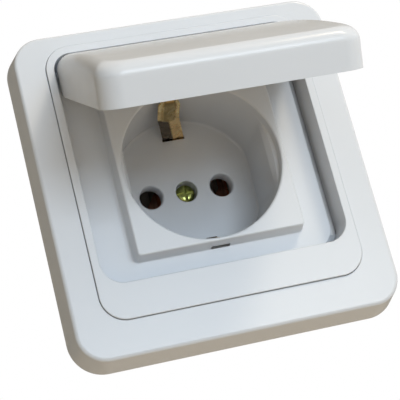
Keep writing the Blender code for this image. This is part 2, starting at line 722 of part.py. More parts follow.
def build_centre_screw():
    """Fixing screw in the middle of the well, with a cross slot."""
    seat = centre_screw_seat()
    head_radius = SCREW_RECESS_RADIUS - SEAT_GAP
    head_top = seat - CENTRE_HEAD_HEIGHT
    profile = [
        (head_radius * 0.75, head_top), (head_radius, head_top + CENTRE_HEAD_HEIGHT * 0.35), (head_radius, seat),
        (CENTRE_SCREW_RADIUS, seat), (CENTRE_SCREW_RADIUS, seat + CENTRE_SCREW_LENGTH - CENTRE_SCREW_RADIUS),
        (CENTRE_SCREW_RADIUS * 0.5, seat + CENTRE_SCREW_LENGTH),
    ]
    screw = turned("centre_screw", profile, sides=ROUND_SIDES)
    cut(screw, slotted_head("slot", head_radius * 1.2, head_top, CENTRE_HEAD_HEIGHT, CENTRE_SLOT_WIDTH))
    return dress(screw, finish_material("screw_yellow", BRASS, 0.3, 1.0))


def ring_solid(name, outer_radius, inner_radius, front, back, outer_sides, inner_sides):
    """Sleeve along Y: an outer form with a bore through it."""
    sleeve = turned(name, [(outer_radius, front), (outer_radius, back)], sides=outer_sides)
    overrun = outer_radius
    cut(sleeve, turned("bore", [(inner_radius, front - overrun), (inner_radius, back + overrun)], sides=inner_sides))
    return sleeve


def bush_front():
    """Depth of the bush's front face, behind the screw boss."""
    return BOSS_BACK + SEAT_GAP


def build_centre_bush():
    """Hexagonal threaded bush that takes the centre screw."""
    front = bush_front()
    bush = ring_solid("centre_bush", BUSH_RADIUS, CENTRE_SCREW_RADIUS + THREAD_GAP, front, front + BUSH_LENGTH,
                      6, ROUND_SIDES)
    return dress(bush, finish_material("bush_brass", BRASS, 0.4, 1.0))


def clamp_screw(name, low_end, head_low, direction):
    """Clamp screw along Z: shank between its tip and its slotted head."""
    length = abs(head_low - low_end)
    profile = [
        (TERMINAL_HEAD_RADIUS * 0.85, 0.0), (TERMINAL_HEAD_RADIUS, TERMINAL_HEAD_HEIGHT * 0.3),
        (TERMINAL_HEAD_RADIUS, TERMINAL_HEAD_HEIGHT), (TERMINAL_SCREW_RADIUS, TERMINAL_HEAD_HEIGHT),
        (TERMINAL_SCREW_RADIUS, TERMINAL_HEAD_HEIGHT + length - TERMINAL_SCREW_RADIUS / 2),
        (TERMINAL_SCREW_RADIUS * 0.6, TERMINAL_HEAD_HEIGHT + length),
    ]
    screw = turned(name, profile, sides=SCREW_SIDES)
    slot = block("slot", (-TERMINAL_HEAD_RADIUS * 1.2, -TERMINAL_HEAD_HEIGHT, -TERMINAL_SLOT_WIDTH / 2),
                 (TERMINAL_HEAD_RADIUS * 1.2, TERMINAL_HEAD_HEIGHT * 0.5, TERMINAL_SLOT_WIDTH / 2))
    cut(screw, slot)
    turn = math.radians(-90.0) if direction > 0 else math.radians(90.0)
    screw.data.transform(Matrix.Rotation(turn, 4, "X"))
    return shift(screw, z=head_low + direction * TERMINAL_HEAD_HEIGHT)


# Contacts and terminals

def build_contacts():
    """Two sprung U contacts of copper sheet, each with a tongue to its terminal."""
    middle = PIN_SPACING / 2
    front = BASE_FLOOR + CONTACT_FRONT
    back = front + CONTACT_LENGTH
    half = CONTACT_GAP / 2
    sheet = CONTACT_SHEET
    flare = CONTACT_GAP * 0.15
    outline = [
        (middle - half - flare - sheet, front), (middle - half - flare, front), (middle - half, front + flare * 2),
        (middle - half, back - sheet), (middle + half, back - sheet), (middle + half, front + flare * 2),
        (middle + half + flare / 2, front + flare), (middle + half + sheet, front + flare * 2),
        (middle + half + sheet, back), (middle - half - sheet, back), (middle - half - sheet, front + flare * 2),
    ]
    contact = extruded("contact_right", outline, "Z", -CONTACT_HEIGHT / 2, CONTACT_HEIGHT / 2)
    tongue_top = TERMINAL_LOW + TERMINAL_SIZE_Z * 0.7
    tongue = block("tongue", (middle + half, TERMINAL_MID_Y - TONGUE_WIDTH / 2, 0.0),
                   (middle + half + sheet, TERMINAL_MID_Y + TONGUE_WIDTH / 2 - sheet, tongue_top))
    join(contact, tongue)
    dress(contact, finish_material("contact_copper_right", COPPER, 0.35, 1.0))
    mirrored(contact, "contact_left", finish_material("contact_copper_left", COPPER, 0.35, 1.0))


def cylinder_z(radius, x, y, low, high):
    """Plain cylinder along Z, for boring."""
    bore = turned("bore", [(radius, low), (radius, high)], sides=SCREW_SIDES)
    turn_along(bore, "Z")
    return shift(bore, x=x, y=y)


def build_terminals():
    """Brass block terminals with a wire hole and a clamp screw each."""
    top = TERMINAL_LOW + TERMINAL_SIZE_Z
    back = TERMINAL_FRONT + TERMINAL_SIZE_Y
    body = block("terminal_right", (TERMINAL_X, TERMINAL_FRONT, TERMINAL_LOW),
                 (TERMINAL_X + TERMINAL_SIZE_X, back, top))
    wire_z = TERMINAL_LOW + WIRE_HOLE_RADIUS * 2
    wire = turned("wire", [(WIRE_HOLE_RADIUS, TERMINAL_FRONT - SEAT_GAP), (WIRE_HOLE_RADIUS, back + SEAT_GAP)],
                  centre=(TERMINAL_MID_X, wire_z), sides=SCREW_SIDES)
    thread = cylinder_z(TERMINAL_SCREW_RADIUS + THREAD_GAP, TERMINAL_MID_X, TERMINAL_MID_Y, wire_z, top + SEAT_GAP)
    cut(body, wire, thread)
    dress(body, finish_material("terminal_brass_right", BRASS, 0.4, 1.0))
    mirrored(body, "terminal_left", finish_material("terminal_brass_left", BRASS, 0.4, 1.0))
    head_low = top + TERMINAL_HEAD_LIFT
    screw = clamp_screw("terminal_screw_right", wire_z + WIRE_HOLE_RADIUS, head_low, 1.0)
    shift(screw, x=TERMINAL_MID_X, y=TERMINAL_MID_Y)
    dress(screw, finish_material("terminal_screw_steel_right", STEEL, 0.35, 1.0))
    mirrored(screw, "terminal_screw_left", finish_material("terminal_screw_steel_left", STEEL, 0.35, 1.0))


def earth_terminal_front():
    """Depth of the earth terminal's front face, behind the strap."""
    return STRAP_BACK + SEAT_GAP


def build_earth_terminal():
    """Brass block behind the strap with its wire hole and clamp screw from below."""
    half = TERMINAL_SIZE_X / 2
    front = earth_terminal_front()
    back = front + EARTH_TERMINAL_DEPTH
    high = EARTH_TERMINAL_LOW + TERMINAL_SIZE_Z
    body = block("earth_terminal", (-half, front, EARTH_TERMINAL_LOW), (half, back, high))
    wire_z = high - WIRE_HOLE_RADIUS * 2
    middle = (front + back) / 2
    wire = turned("wire", [(WIRE_HOLE_RADIUS, middle), (WIRE_HOLE_RADIUS, back + SEAT_GAP)],
                  centre=(0.0, wire_z), sides=SCREW_SIDES)
    thread = cylinder_z(TERMINAL_SCREW_RADIUS + THREAD_GAP, 0.0, middle, EARTH_TERMINAL_LOW - SEAT_GAP, wire_z)
    cut(body, wire, thread)
    dress(body, finish_material("earth_terminal_brass", BRASS, 0.4, 1.0))
    head_high = EARTH_TERMINAL_LOW - TERMINAL_HEAD_LIFT / 2
    screw = clamp_screw("earth_terminal_screw", wire_z - WIRE_HOLE_RADIUS, head_high, -1.0)
    shift(screw, y=middle)
    dress(screw, finish_material("earth_screw_steel", STEEL, 0.35, 1.0))


def build_earth_strap():
    """One folded brass strip: an eye round the screw boss and two sprung clips in the well."""
    back = STRAP_BACK
    half = STRAP_THICKNESS / 2
    mid = back - half
    line = [(-STRAP_TIP_HEIGHT, STRAP_TIP), (STRAP_CREASE_DEPTH - BLOCK_FACE * 0.1, STRAP_CREASE),
            (STRAP_BEND_DEPTH, STRAP_ARM), (mid, STRAP_ARM)]
    line += [(y, -z) for y, z in reversed(line)]
    points = np.array(line)
    steps = np.diff(points, axis=0)
    steps /= np.linalg.norm(steps, axis=1)[:, None]
    normals = np.column_stack((-steps[:, 1], steps[:, 0]))
    mitres = np.vstack((normals[:1], normals[:-1] + normals[1:], normals[-1:]))
    mitres /= np.linalg.norm(mitres, axis=1)[:, None]
    lean = np.concatenate((normals[:1], normals))
    stretch = half / np.sum(mitres * lean, axis=1)[:, None]
    outline = np.vstack((points + mitres * stretch, (points - mitres * stretch)[::-1]))
    strap = extruded("earth_strap", outline.tolist(), "X", -STRAP_WIDTH / 2, STRAP_WIDTH / 2)
    join(strap, turned("eye", [(STRAP_EYE_RADIUS, back - STRAP_THICKNESS), (STRAP_EYE_RADIUS, back)]))
    hole = BOSS_RADIUS + SEAT_GAP
    cut(strap, turned("hole", [(hole, back - STRAP_THICKNESS * 2), (hole, back + STRAP_THICKNESS)]))
    return dress(strap, finish_material("strap_brass", BRASS, 0.25, 1.0))


# Base

def base_outline(inset, y):
    """Outline of the base, drawn in, at a depth behind the wall."""
    radius = BASE_CORNER_RADIUS - inset
    half = BASE_HEIGHT / 2 - inset
    return at_depth(plan(BASE_WIDTH / 2 - inset, -half, half, radius, radius), y)


def box_around(low, high, gap):
    """Pocket cutter that leaves a gap round a boxed piece and opens to the front."""
    return block("pocket", (low[0] - gap, low[1], low[2] - gap), (high[0] + gap, high[1] + gap, high[2] + gap))


def build_socket_base():
    """Moulded base: round seat for the well, chambers for the live parts, posts for the ring."""
    front = SEAT_GAP
    loops = [
        base_outline(0.0, front), base_outline(0.0, BASE_DEPTH - BASE_EDGE_RADIUS),
        base_outline(BASE_EDGE_RADIUS * 0.3, BASE_DEPTH - BASE_EDGE_RADIUS * 0.3),
        base_outline(BASE_EDGE_RADIUS, BASE_DEPTH),
    ]
    base = add_object("socket_base", mesh_from_loops("socket_base", loops))
    seat = CUP_RADIUS + SEAT_GAP
    cut(base, turned("seat", [(seat, front - WELL_WALL), (seat, BASE_FLOOR)], sides=WELL_SIDES))
    gap = SEAT_GAP
    above = BASE_FLOOR - WELL_WALL
    channel = block("channel", (-STRAP_WIDTH / 2 - gap, above, -STRAP_ARM - STRAP_THICKNESS),
                    (STRAP_WIDTH / 2 + gap, STRAP_BACK + gap, STRAP_ARM + STRAP_THICKNESS))
    eye = turned("eye", [(STRAP_EYE_RADIUS + gap, above), (STRAP_EYE_RADIUS + gap, STRAP_BACK + gap)])
    boss = turned("boss", [(BOSS_RADIUS + gap, above), (BOSS_RADIUS + gap, bush_front())])
    bush = turned("bush", [(BUSH_RADIUS + gap, above), (BUSH_RADIUS + gap, bush_front() + BUSH_LENGTH + gap)], sides=6)
    screw_end = centre_screw_seat() + CENTRE_SCREW_LENGTH + gap
    tip = turned("tip", [(CENTRE_SCREW_RADIUS + THREAD_GAP, bush_front()), (CENTRE_SCREW_RADIUS + THREAD_GAP, screw_end)])
    cut(base, channel, eye, boss, bush, tip)
    middle = PIN_SPACING / 2
    reach = CONTACT_GAP / 2 + CONTACT_SHEET + CONTACT_GAP * 0.15
    contact_back = BASE_FLOOR + CONTACT_FRONT + CONTACT_LENGTH
    terminal_top = TERMINAL_LOW + TERMINAL_SIZE_Z
    wire_z = TERMINAL_LOW + WIRE_HOLE_RADIUS * 2
    for side in (-1.0, 1.0):
        across = sorted((side * (middle - reach), side * (middle + reach)))
        cut(base, box_around((across[0], above, -CONTACT_HEIGHT / 2), (across[1], contact_back, CONTACT_HEIGHT / 2), gap))
        across = sorted((side * (middle + CONTACT_GAP / 2), side * (TERMINAL_X + TERMINAL_SIZE_X)))
        cut(base, box_around((across[0], above, 0.0), (across[1], TERMINAL_FRONT + TERMINAL_SIZE_Y, terminal_top), gap))
        x = side * TERMINAL_MID_X
        cut(base,
            cylinder_z(TERMINAL_HEAD_RADIUS + gap, x, TERMINAL_MID_Y, terminal_top, BASE_HEIGHT),
            turned("wire", [(WIRE_HOLE_RADIUS + gap, TERMINAL_MID_Y), (WIRE_HOLE_RADIUS + gap, BASE_DEPTH * 1.1)],
                   centre=(x, wire_z), sides=SCREW_SIDES))
    half = TERMINAL_SIZE_X / 2
    earth_front = earth_terminal_front()
    earth_back = earth_front + EARTH_TERMINAL_DEPTH
    earth_high = EARTH_TERMINAL_LOW + TERMINAL_SIZE_Z
    earth_mid = (earth_front + earth_back) / 2
    cut(base, box_around((-half, above, EARTH_TERMINAL_LOW), (half, earth_back, earth_high), gap),
        cylinder_z(TERMINAL_HEAD_RADIUS + gap, 0.0, earth_mid, -BASE_HEIGHT, EARTH_TERMINAL_LOW),
        turned("wire", [(WIRE_HOLE_RADIUS + gap, earth_mid), (WIRE_HOLE_RADIUS + gap, BASE_DEPTH * 1.1)],
               centre=(0.0, earth_high - WIRE_HOLE_RADIUS * 2), sides=SCREW_SIDES))
    for turn in range(4):
        angle = math.radians(45.0 + 90.0 * turn)
        centre = (POST_CIRCLE_RADIUS * math.cos(angle), POST_CIRCLE_RADIUS * math.sin(angle))
        join(base, turned("post", [(POST_RADIUS * 0.8, -POST_HEIGHT), (POST_RADIUS, -POST_HEIGHT + POST_RADIUS * 0.2),
                                   (POST_RADIUS, front + POST_RADIUS)], centre=centre, sides=SCREW_SIDES))
    return dress(base, finish_material("base_grey", INNER_GREY, 0.5))


# Support ring

def fixing_slot(angle):
    """Cutter for one curved fixing slot on the fixing circle."""
    half_turn = FIXING_SLOT_LENGTH / FIXING_CIRCLE_RADIUS / 2
    points = []
    for end, start in ((half_turn, 0.0), (-half_turn, math.pi)):
        turn = angle + end
        middle_x = FIXING_CIRCLE_RADIUS * math.cos(turn)
        middle_z = FIXING_CIRCLE_RADIUS * math.sin(turn)
        for bend in np.linspace(0.0, math.pi, 9):
            heading = turn + start + bend
            points.append((middle_x + FIXING_SLOT_RADIUS * math.cos(heading),
                           middle_z + FIXING_SLOT_RADIUS * math.sin(heading)))
    return extruded("fixing_slot", points, "Y", -RING_THICKNESS * 2, RING_THICKNESS)


def build_support_ring():
    """Pressed steel plate that carries the base, with slots for the box screws and the claws."""
    half_width = FRAME_WIDTH / 2 - FRAME_WALL - RING_SIDE_MARGIN
    half_height = FRAME_TOP - FRAME_WALL - RING_TOP_MARGIN
    flat = plan(half_width, -half_height, half_height, RING_CORNER_RADIUS, RING_CORNER_RADIUS)
    ring = add_object("support_ring", mesh_from_loops("support_ring", [at_depth(flat, -RING_THICKNESS), at_depth(flat, 0.0)]))
    over = RING_THICKNESS
    cut(ring, turned("hole", [(RING_HOLE_RADIUS, -RING_THICKNESS - over), (RING_HOLE_RADIUS, over)], sides=WELL_SIDES))
    for turn in range(4):
        angle = math.radians(45.0 + 90.0 * turn)
        cut(ring, fixing_slot(angle))
        centre = (POST_CIRCLE_RADIUS * math.cos(angle), POST_CIRCLE_RADIUS * math.sin(angle))
        hole = POST_RADIUS + SEAT_GAP
        cut(ring, turned("post_hole", [(hole, -RING_THICKNESS - over), (hole, over)], centre=centre, sides=SCREW_SIDES))
    for side in (-1.0, 1.0):
        across = sorted((side * (BLADE_X - SEAT_GAP), side * (BLADE_X + CLAW_SHEET + SEAT_GAP * 2)))
        window = block("window", (across[0], -RING_THICKNESS - over, -CLAW_NECK / 2 - SEAT_GAP),
                       (across[1], over, CLAW_NECK / 2 + SEAT_GAP))
        hole = CLAW_SCREW_RADIUS + SEAT_GAP
        screw = turned("screw_hole", [(hole, -RING_THICKNESS - over), (hole, over)], centre=(side * CLAW_SCREW_X, 0.0),
                       sides=SCREW_SIDES)
        cut(ring, screw, window)
    return dress(ring, finish_material("ring_steel", STEEL, 0.4, 1.0))


# Claws

def build_claws():
    """Spreader claws of bent sheet: a T head over the ring, a windowed blade, a fork and teeth."""
    inner = BLADE_X
    outer = BLADE_X + CLAW_SHEET
    head_high = RING_THICKNESS + SEAT_GAP + CLAW_SHEET * 0.7
    half = CLAW_WIDTH / 2
    neck = CLAW_NECK / 2
    shoulder = SEAT_GAP * 2
    face = [
        (-head_high, -half), (-head_high, half), (-RING_THICKNESS - SEAT_GAP, half), (-RING_THICKNESS - SEAT_GAP, neck),
        (shoulder, neck), (shoulder, half), (CLAW_LENGTH, half), (CLAW_LENGTH, -half), (shoulder, -half),
        (shoulder, -neck), (-RING_THICKNESS - SEAT_GAP, -neck), (-RING_THICKNESS - SEAT_GAP, -half),
    ]
    claw = extruded("claw_right", face, "X", inner, outer)
    leg = half - CLAW_LEG
    window = block("window", (inner - CLAW_SHEET, CLAW_LUG_DEPTH + CLAW_SHEET * 2, -leg),
                   (outer + CLAW_SHEET, CLAW_SCREW_LENGTH + CLAW_SHEET * 3, leg))
    cut(claw, window)
    lug_end = inner + CLAW_LUG_REACH
    for side in (-1.0, 1.0):
        across = sorted((side * (CLAW_SCREW_RADIUS + SEAT_GAP), side * (half - CLAW_SHEET / 2)))
        join(claw, block("fork", (inner + CLAW_SHEET / 2, CLAW_LUG_DEPTH, across[0]),
                         (lug_end, CLAW_LUG_DEPTH + CLAW_SHEET, across[1])))
    pitch = CLAW_WIDTH / 3
    teeth = []
    for index in range(3):
        low = -half + index * pitch
        teeth += [(outer + CLAW_TOOTH * 0.6, low), (outer + CLAW_TOOTH, low + pitch / 2)]
    teeth += [(outer + CLAW_TOOTH * 0.6, half), (outer - CLAW_SHEET / 2, half), (outer - CLAW_SHEET / 2, -half)]
    join(claw, extruded("teeth", teeth, "Y", CLAW_LENGTH - CLAW_SHEET, CLAW_LENGTH))
    shift(claw, x=-CLAW_PIVOT_X, y=-CLAW_PIVOT_DEPTH)
    claw.location = (CLAW_PIVOT_X, CLAW_PIVOT_DEPTH, 0.0)
    dress(claw, finish_material("claw_steel_right", STEEL, 0.45, 1.0))
    twin = mirrored(claw, "claw_left", finish_material("claw_steel_left", STEEL, 0.45, 1.0))
    twin.location = (-CLAW_PIVOT_X, CLAW_PIVOT_DEPTH, 0.0)
    head_under = -RING_THICKNESS - SEAT_GAP / 2
    head_top = head_under - CLAW_HEAD_HEIGHT
    profile = [
        (CLAW_HEAD_RADIUS * 0.85, head_top), (CLAW_HEAD_RADIUS, head_top + CLAW_HEAD_HEIGHT * 0.3),
        (CLAW_HEAD_RADIUS, head_under), (CLAW_SCREW_RADIUS, head_under),
        (CLAW_SCREW_RADIUS, CLAW_SCREW_LENGTH - CLAW_SCREW_RADIUS / 2), (CLAW_SCREW_RADIUS * 0.6, CLAW_SCREW_LENGTH),
    ]
    screw = turned("claw_screw_right", profile, centre=(CLAW_SCREW_X, 0.0), sides=SCREW_SIDES)
    slot = block("slot", (CLAW_SCREW_X - CLAW_HEAD_RADIUS * 1.2, head_top - CLAW_HEAD_HEIGHT, -TERMINAL_SLOT_WIDTH / 2),
                 (CLAW_SCREW_X + CLAW_HEAD_RADIUS * 1.2, head_top + CLAW_HEAD_HEIGHT * 0.5, TERMINAL_SLOT_WIDTH / 2))
    cut(screw, slot)
    dress(screw, finish_material("claw_screw_steel_right", STEEL, 0.35, 1.0))
    mirrored(screw, "claw_screw_left", finish_material("claw_screw_steel_left", STEEL, 0.35, 1.0))


def main():
    clear_scene()
    build_outer_frame()
    build_insert_frame()
    build_socket_cover()
    build_lid()
    build_hinge_pins()
    build_centre_screw()
    build_centre_bush()
    build_socket_base()
    build_support_ring()
    build_earth_strap()
    build_contacts()
    build_terminals()
    build_earth_terminal()
    build_claws()


if __name__ == "__main__":
    main()
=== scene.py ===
"""A flush wall socket with a hinged cover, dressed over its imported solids.

Metres, +Z up, +X right. The wall's surface is Y = 0 and the front faces -Y, so a
height over the wall is placed at minus its value on Y, and a depth behind the wall
at plus its value. The origin lies on the axis of the plug well.
"""
import json
import math

import bpy
import numpy as np
from bpy.props import FloatProperty, FloatVectorProperty, PointerProperty
from mathutils import Matrix, Quaternion, Vector


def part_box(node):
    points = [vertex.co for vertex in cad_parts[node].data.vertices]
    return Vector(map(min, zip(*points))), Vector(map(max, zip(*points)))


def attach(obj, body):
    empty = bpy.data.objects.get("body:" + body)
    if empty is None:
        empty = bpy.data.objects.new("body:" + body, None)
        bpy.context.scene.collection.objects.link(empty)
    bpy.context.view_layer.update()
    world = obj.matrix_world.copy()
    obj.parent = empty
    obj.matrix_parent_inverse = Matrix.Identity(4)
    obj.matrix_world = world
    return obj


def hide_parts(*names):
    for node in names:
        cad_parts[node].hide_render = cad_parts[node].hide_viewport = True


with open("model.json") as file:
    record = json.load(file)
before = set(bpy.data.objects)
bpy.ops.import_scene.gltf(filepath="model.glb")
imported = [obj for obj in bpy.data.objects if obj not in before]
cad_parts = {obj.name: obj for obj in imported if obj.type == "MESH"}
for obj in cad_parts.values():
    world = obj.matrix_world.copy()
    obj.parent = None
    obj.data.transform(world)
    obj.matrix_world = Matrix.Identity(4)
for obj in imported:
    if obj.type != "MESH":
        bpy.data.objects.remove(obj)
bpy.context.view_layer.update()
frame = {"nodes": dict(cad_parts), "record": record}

bl_info = {
    "name": "Wall socket with hinged cover",
    "version": (1, 0, 0),
    "blender": (4, 5, 0),
    "location": "View3D > Sidebar > Socket",
    "description": "Builds the visible pieces of a flush wall socket over its packed solids",
    "category": "Add Mesh",
}

# Places and sizes that the frame gives
JOINTS = {joint["name"]: joint for joint in frame["record"]["behaviour"]["joints"]}
HINGE = np.array(JOINTS["lid_hinge"]["pos_m"])
LID_REST_ANGLE = -JOINTS["lid_hinge"]["range_deg"][0]
FRAME_LOW, FRAME_HIGH = (np.array(corner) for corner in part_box("outer_frame"))
INSERT_LOW, INSERT_HIGH = (np.array(corner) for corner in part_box("insert_frame"))
COVER_LOW, COVER_HIGH = (np.array(corner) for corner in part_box("socket_cover"))
LID_LOW, LID_HIGH = (np.array(corner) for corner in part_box("lid"))
STRAP_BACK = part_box("earth_strap")[1][1]
SCREW_LOW, SCREW_HIGH = (np.array(corner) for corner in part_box("centre_screw"))
BASE_LOW, BASE_HIGH = (np.array(corner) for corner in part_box("socket_base"))
CONTACT_LOW, CONTACT_HIGH = (np.array(corner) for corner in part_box("contact_right"))
TERMINAL_LOW, TERMINAL_HIGH = (np.array(corner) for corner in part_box("terminal_right"))
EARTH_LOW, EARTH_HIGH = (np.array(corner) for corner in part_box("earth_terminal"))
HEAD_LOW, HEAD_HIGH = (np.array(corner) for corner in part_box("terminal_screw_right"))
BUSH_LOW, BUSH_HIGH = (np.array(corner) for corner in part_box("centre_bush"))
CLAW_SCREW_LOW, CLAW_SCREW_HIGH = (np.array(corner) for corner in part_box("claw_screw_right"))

# Clearances, and how far a cutter reaches past what it cuts
SEAT_GAP = 0.0003
SHADOW_GAP = 0.0003
CUT_PAST = 0.0010
CUT_ASIDE = 0.0005

# Walls and bores that several pieces share
WELL_WALL = 0.0015
CUP_FLOOR = 0.0018
BOSS_WALL = 0.0013
SLEEVE_WALL = 0.00055
PLATE_WALL = 0.00125
LIP_WALL = 0.0008
SHANK_HOLE = 0.0018
HINGE_BORE = 0.00125
EAR_WIDTH = 0.0040
EAR_INSET = 0.0017

# Fineness
CORNER_STEPS = 22
SIDE_STEPS = 36
ARC_STEPS = 9
HOLD = 0.00006
ROUND_SIDES = 72
SMALL_ROUND_SIDES = 32
SHARP_ANGLE = 32.0

# Left and right, or low and high
SIDES = (-1.0, 1.0)


class SocketSizes(bpy.types.PropertyGroup):
    """Sizes of the mouldings and of the metal strip."""

    frame_corner: FloatProperty(
        name="Frame corner", description="Corner radius of the outer frame at the wall",
        default=0.0085, unit="LENGTH", precision=4)
    frame_edge: FloatProperty(
        name="Frame edge", description="Radius of the frame's front edge",
        default=0.0009, unit="LENGTH", precision=4)
    frame_lean: FloatProperty(
        name="Frame lean", description="How far the frame's sides lean in over their height",
        default=0.00147, unit="LENGTH", precision=5)
    frame_wall: FloatProperty(
        name="Frame wall", description="Wall of the outer frame",
        default=0.0018, unit="LENGTH", precision=4)
    ledge_height: FloatProperty(
        name="Ledge height", description="Height of the ledge that carries the insert frame",
        default=0.0043, unit="LENGTH", precision=4)
    ledge_width: FloatProperty(
        name="Ledge width", description="Width of the ledge that carries the insert frame",
        default=0.0010, unit="LENGTH", precision=4)
    insert_corner: FloatProperty(
        name="Insert corner", description="Outer corner radius of the insert frame",
        default=0.0062, unit="LENGTH", precision=4)
    joint_width: FloatProperty(
        name="Joint width", description="Visible gap between the outer frame and the insert frame",
        default=0.00011, unit="LENGTH", precision=5)
    cover_gap: FloatProperty(
        name="Cover gap", description="Extra gap beside the recess's floor on the right",
        default=0.0015, unit="LENGTH", precision=5)
    sleeve_length: FloatProperty(
        name="Sleeve length", description="Length of the two pin sleeves behind the well",
        default=0.0020, unit="LENGTH", precision=4)
    insert_edge: FloatProperty(
        name="Insert edge", description="Radius of the edges round the insert frame's face",
        default=0.0002, unit="LENGTH", precision=4)
    recess_low_corner: FloatProperty(
        name="Recess low corner", description="Radius of the recess's two lower corners",
        default=0.0055, unit="LENGTH", precision=4)
    recess_high_corner: FloatProperty(
        name="Recess high corner", description="Radius of the recess's two upper corners",
        default=0.0044, unit="LENGTH", precision=4)
    land_side: FloatProperty(
        name="Land at the sides", description="Width of the insert frame's face beside the recess",
        default=0.0019, unit="LENGTH", precision=4)
    land_top: FloatProperty(
        name="Land at the top", description="Width of the insert frame's face above the recess",
        default=0.0019, unit="LENGTH", precision=4)
    apron: FloatProperty(
        name="Apron", description="Width of the insert frame's face below the recess",
        default=0.0087, unit="LENGTH", precision=4)
    plate_floor: FloatProperty(
        name="Recess floor", description="Height of the recess's floor over the wall",
        default=0.0035, unit="LENGTH", precision=4)
    block_width: FloatProperty(
        name="Block width", description="Width of the raised block round the well",
        default=0.0420, unit="LENGTH", precision=4)
    block_top: FloatProperty(
        name="Block top", description="Upper edge of the raised block",
        default=0.0215, unit="LENGTH", precision=4)
    block_bottom: FloatProperty(
        name="Block bottom", description="Lower edge of the raised block",
        default=-0.0206, unit="LENGTH", precision=4)
    block_corner: FloatProperty(
        name="Block corner", description="Corner radius of the raised block",
        default=0.0008, unit="LENGTH", precision=4)
    block_height: FloatProperty(
        name="Block height", description="Height of the block's face over the wall",
        default=0.0079, unit="LENGTH", precision=4)
    block_edge: FloatProperty(
        name="Block edge", description="Radius of the block's front edge and of the well's rim",
        default=0.0005, unit="LENGTH", precision=4)
    well_radius: FloatProperty(
        name="Well radius", description="Radius of the plug well at its mouth",
        default=0.0198, unit="LENGTH", precision=4)
    well_floor: FloatProperty(
        name="Well floor", description="Depth of the well's floor behind the wall's surface",
        default=0.0151, unit="LENGTH", precision=4)
    well_fillet: FloatProperty(
        name="Well fillet", description="Radius between the well's wall and its floor",
        default=0.0007, unit="LENGTH", precision=4)
    key_half_width: FloatProperty(
        name="Guide rib half width", description="Half of a guide rib's width at its foot",
        default=0.0062, unit="LENGTH", precision=4)
    key_proud: FloatProperty(
        name="Guide rib height", description="How far a guide rib stands into the well",
        default=0.0020, unit="LENGTH", precision=4)
    key_flank: FloatProperty(
        name="Guide rib flank", description="Width of a guide rib's sloping side",
        default=0.0014, unit="LENGTH", precision=4)
    pin_spacing: FloatProperty(
        name="Pin spacing", description="Distance between the two pin holes",
        default=0.0190, unit="LENGTH", precision=4)
    pin_hole: FloatProperty(
        name="Pin hole radius", description="Radius of a pin hole",
        default=0.00305, unit="LENGTH", precision=5)
    screw_recess: FloatProperty(
        name="Screw recess radius", description="Radius of the recess round the centre screw",
        default=0.00285, unit="LENGTH", precision=5)
    lid_wall: FloatProperty(
        name="Lid wall", description="Wall of the lid",
        default=0.0018, unit="LENGTH", precision=4)
    lid_crown: FloatProperty(
        name="Lid crown", description="How far the lid's face bulges along its length",
        default=0.0012, unit="LENGTH", precision=4)
    lid_end_edge: FloatProperty(
        name="Lid end edge", description="Radius of the edge at the lid's free end",
        default=0.0030, unit="LENGTH", precision=4)
    lid_side_edge: FloatProperty(
        name="Lid side edge", description="Radius of the edges at the lid's two sides",
        default=0.0034, unit="LENGTH", precision=4)
    lid_end_corner: FloatProperty(
        name="Lid end corner", description="Radius of the two corners at the lid's free end",
        default=0.0052, unit="LENGTH", precision=4)
    lid_hinge_corner: FloatProperty(
        name="Lid hinge corner", description="Radius of the two corners at the hinge",
        default=0.0042, unit="LENGTH", precision=4)
    lid_hinge_radius: FloatProperty(
        name="Lid hinge radius", description="Radius of the lid's rounded back round the hinge",
        default=0.00475, unit="LENGTH", precision=5)
    strap_thickness: FloatProperty(
        name="Strap thickness", description="Thickness of the earth strap's sheet",
        default=0.0006, unit="LENGTH", precision=4)
    strap_width: FloatProperty(
        name="Strap width", description="Width of the two earth clips",
        default=0.0057, unit="LENGTH", precision=4)
    strap_ridge: FloatProperty(
        name="Strap ridge", description="Height of the pressed ridge along the earth clips",
        default=0.0005, unit="LENGTH", precision=4)
    strap_band: FloatProperty(
        name="Strap band", description="Width of the flat top of the ridge near the clips' ends",
        default=0.0030, unit="LENGTH", precision=4)
    strap_drop: FloatProperty(
        name="Strap drop", description="How much nearer the lower clip lies to the well's wall",
        default=0.0015, unit="LENGTH", precision=4)
    strap_lean: FloatProperty(
        name="Strap lean", description="How far the upper clip's crease leans to one side",
        default=-0.0032, unit="LENGTH", precision=4)
    strap_tip_lean: FloatProperty(
        name="Strap tip lean", description="How much further the upper clip's end leans",
        default=-0.0004, unit="LENGTH", precision=4)
    base_corner: FloatProperty(
        name="Base corner", description="Corner radius of the base behind the wall",
        default=0.0140, unit="LENGTH", precision=4)
    base_edge: FloatProperty(
        name="Base edge", description="Radius of the edge round the base's back",
        default=0.0012, unit="LENGTH", precision=4)
    post_circle: FloatProperty(
        name="Post circle", description="Radius of the circle on which the four posts stand",
        default=0.0246, unit="LENGTH", precision=4)


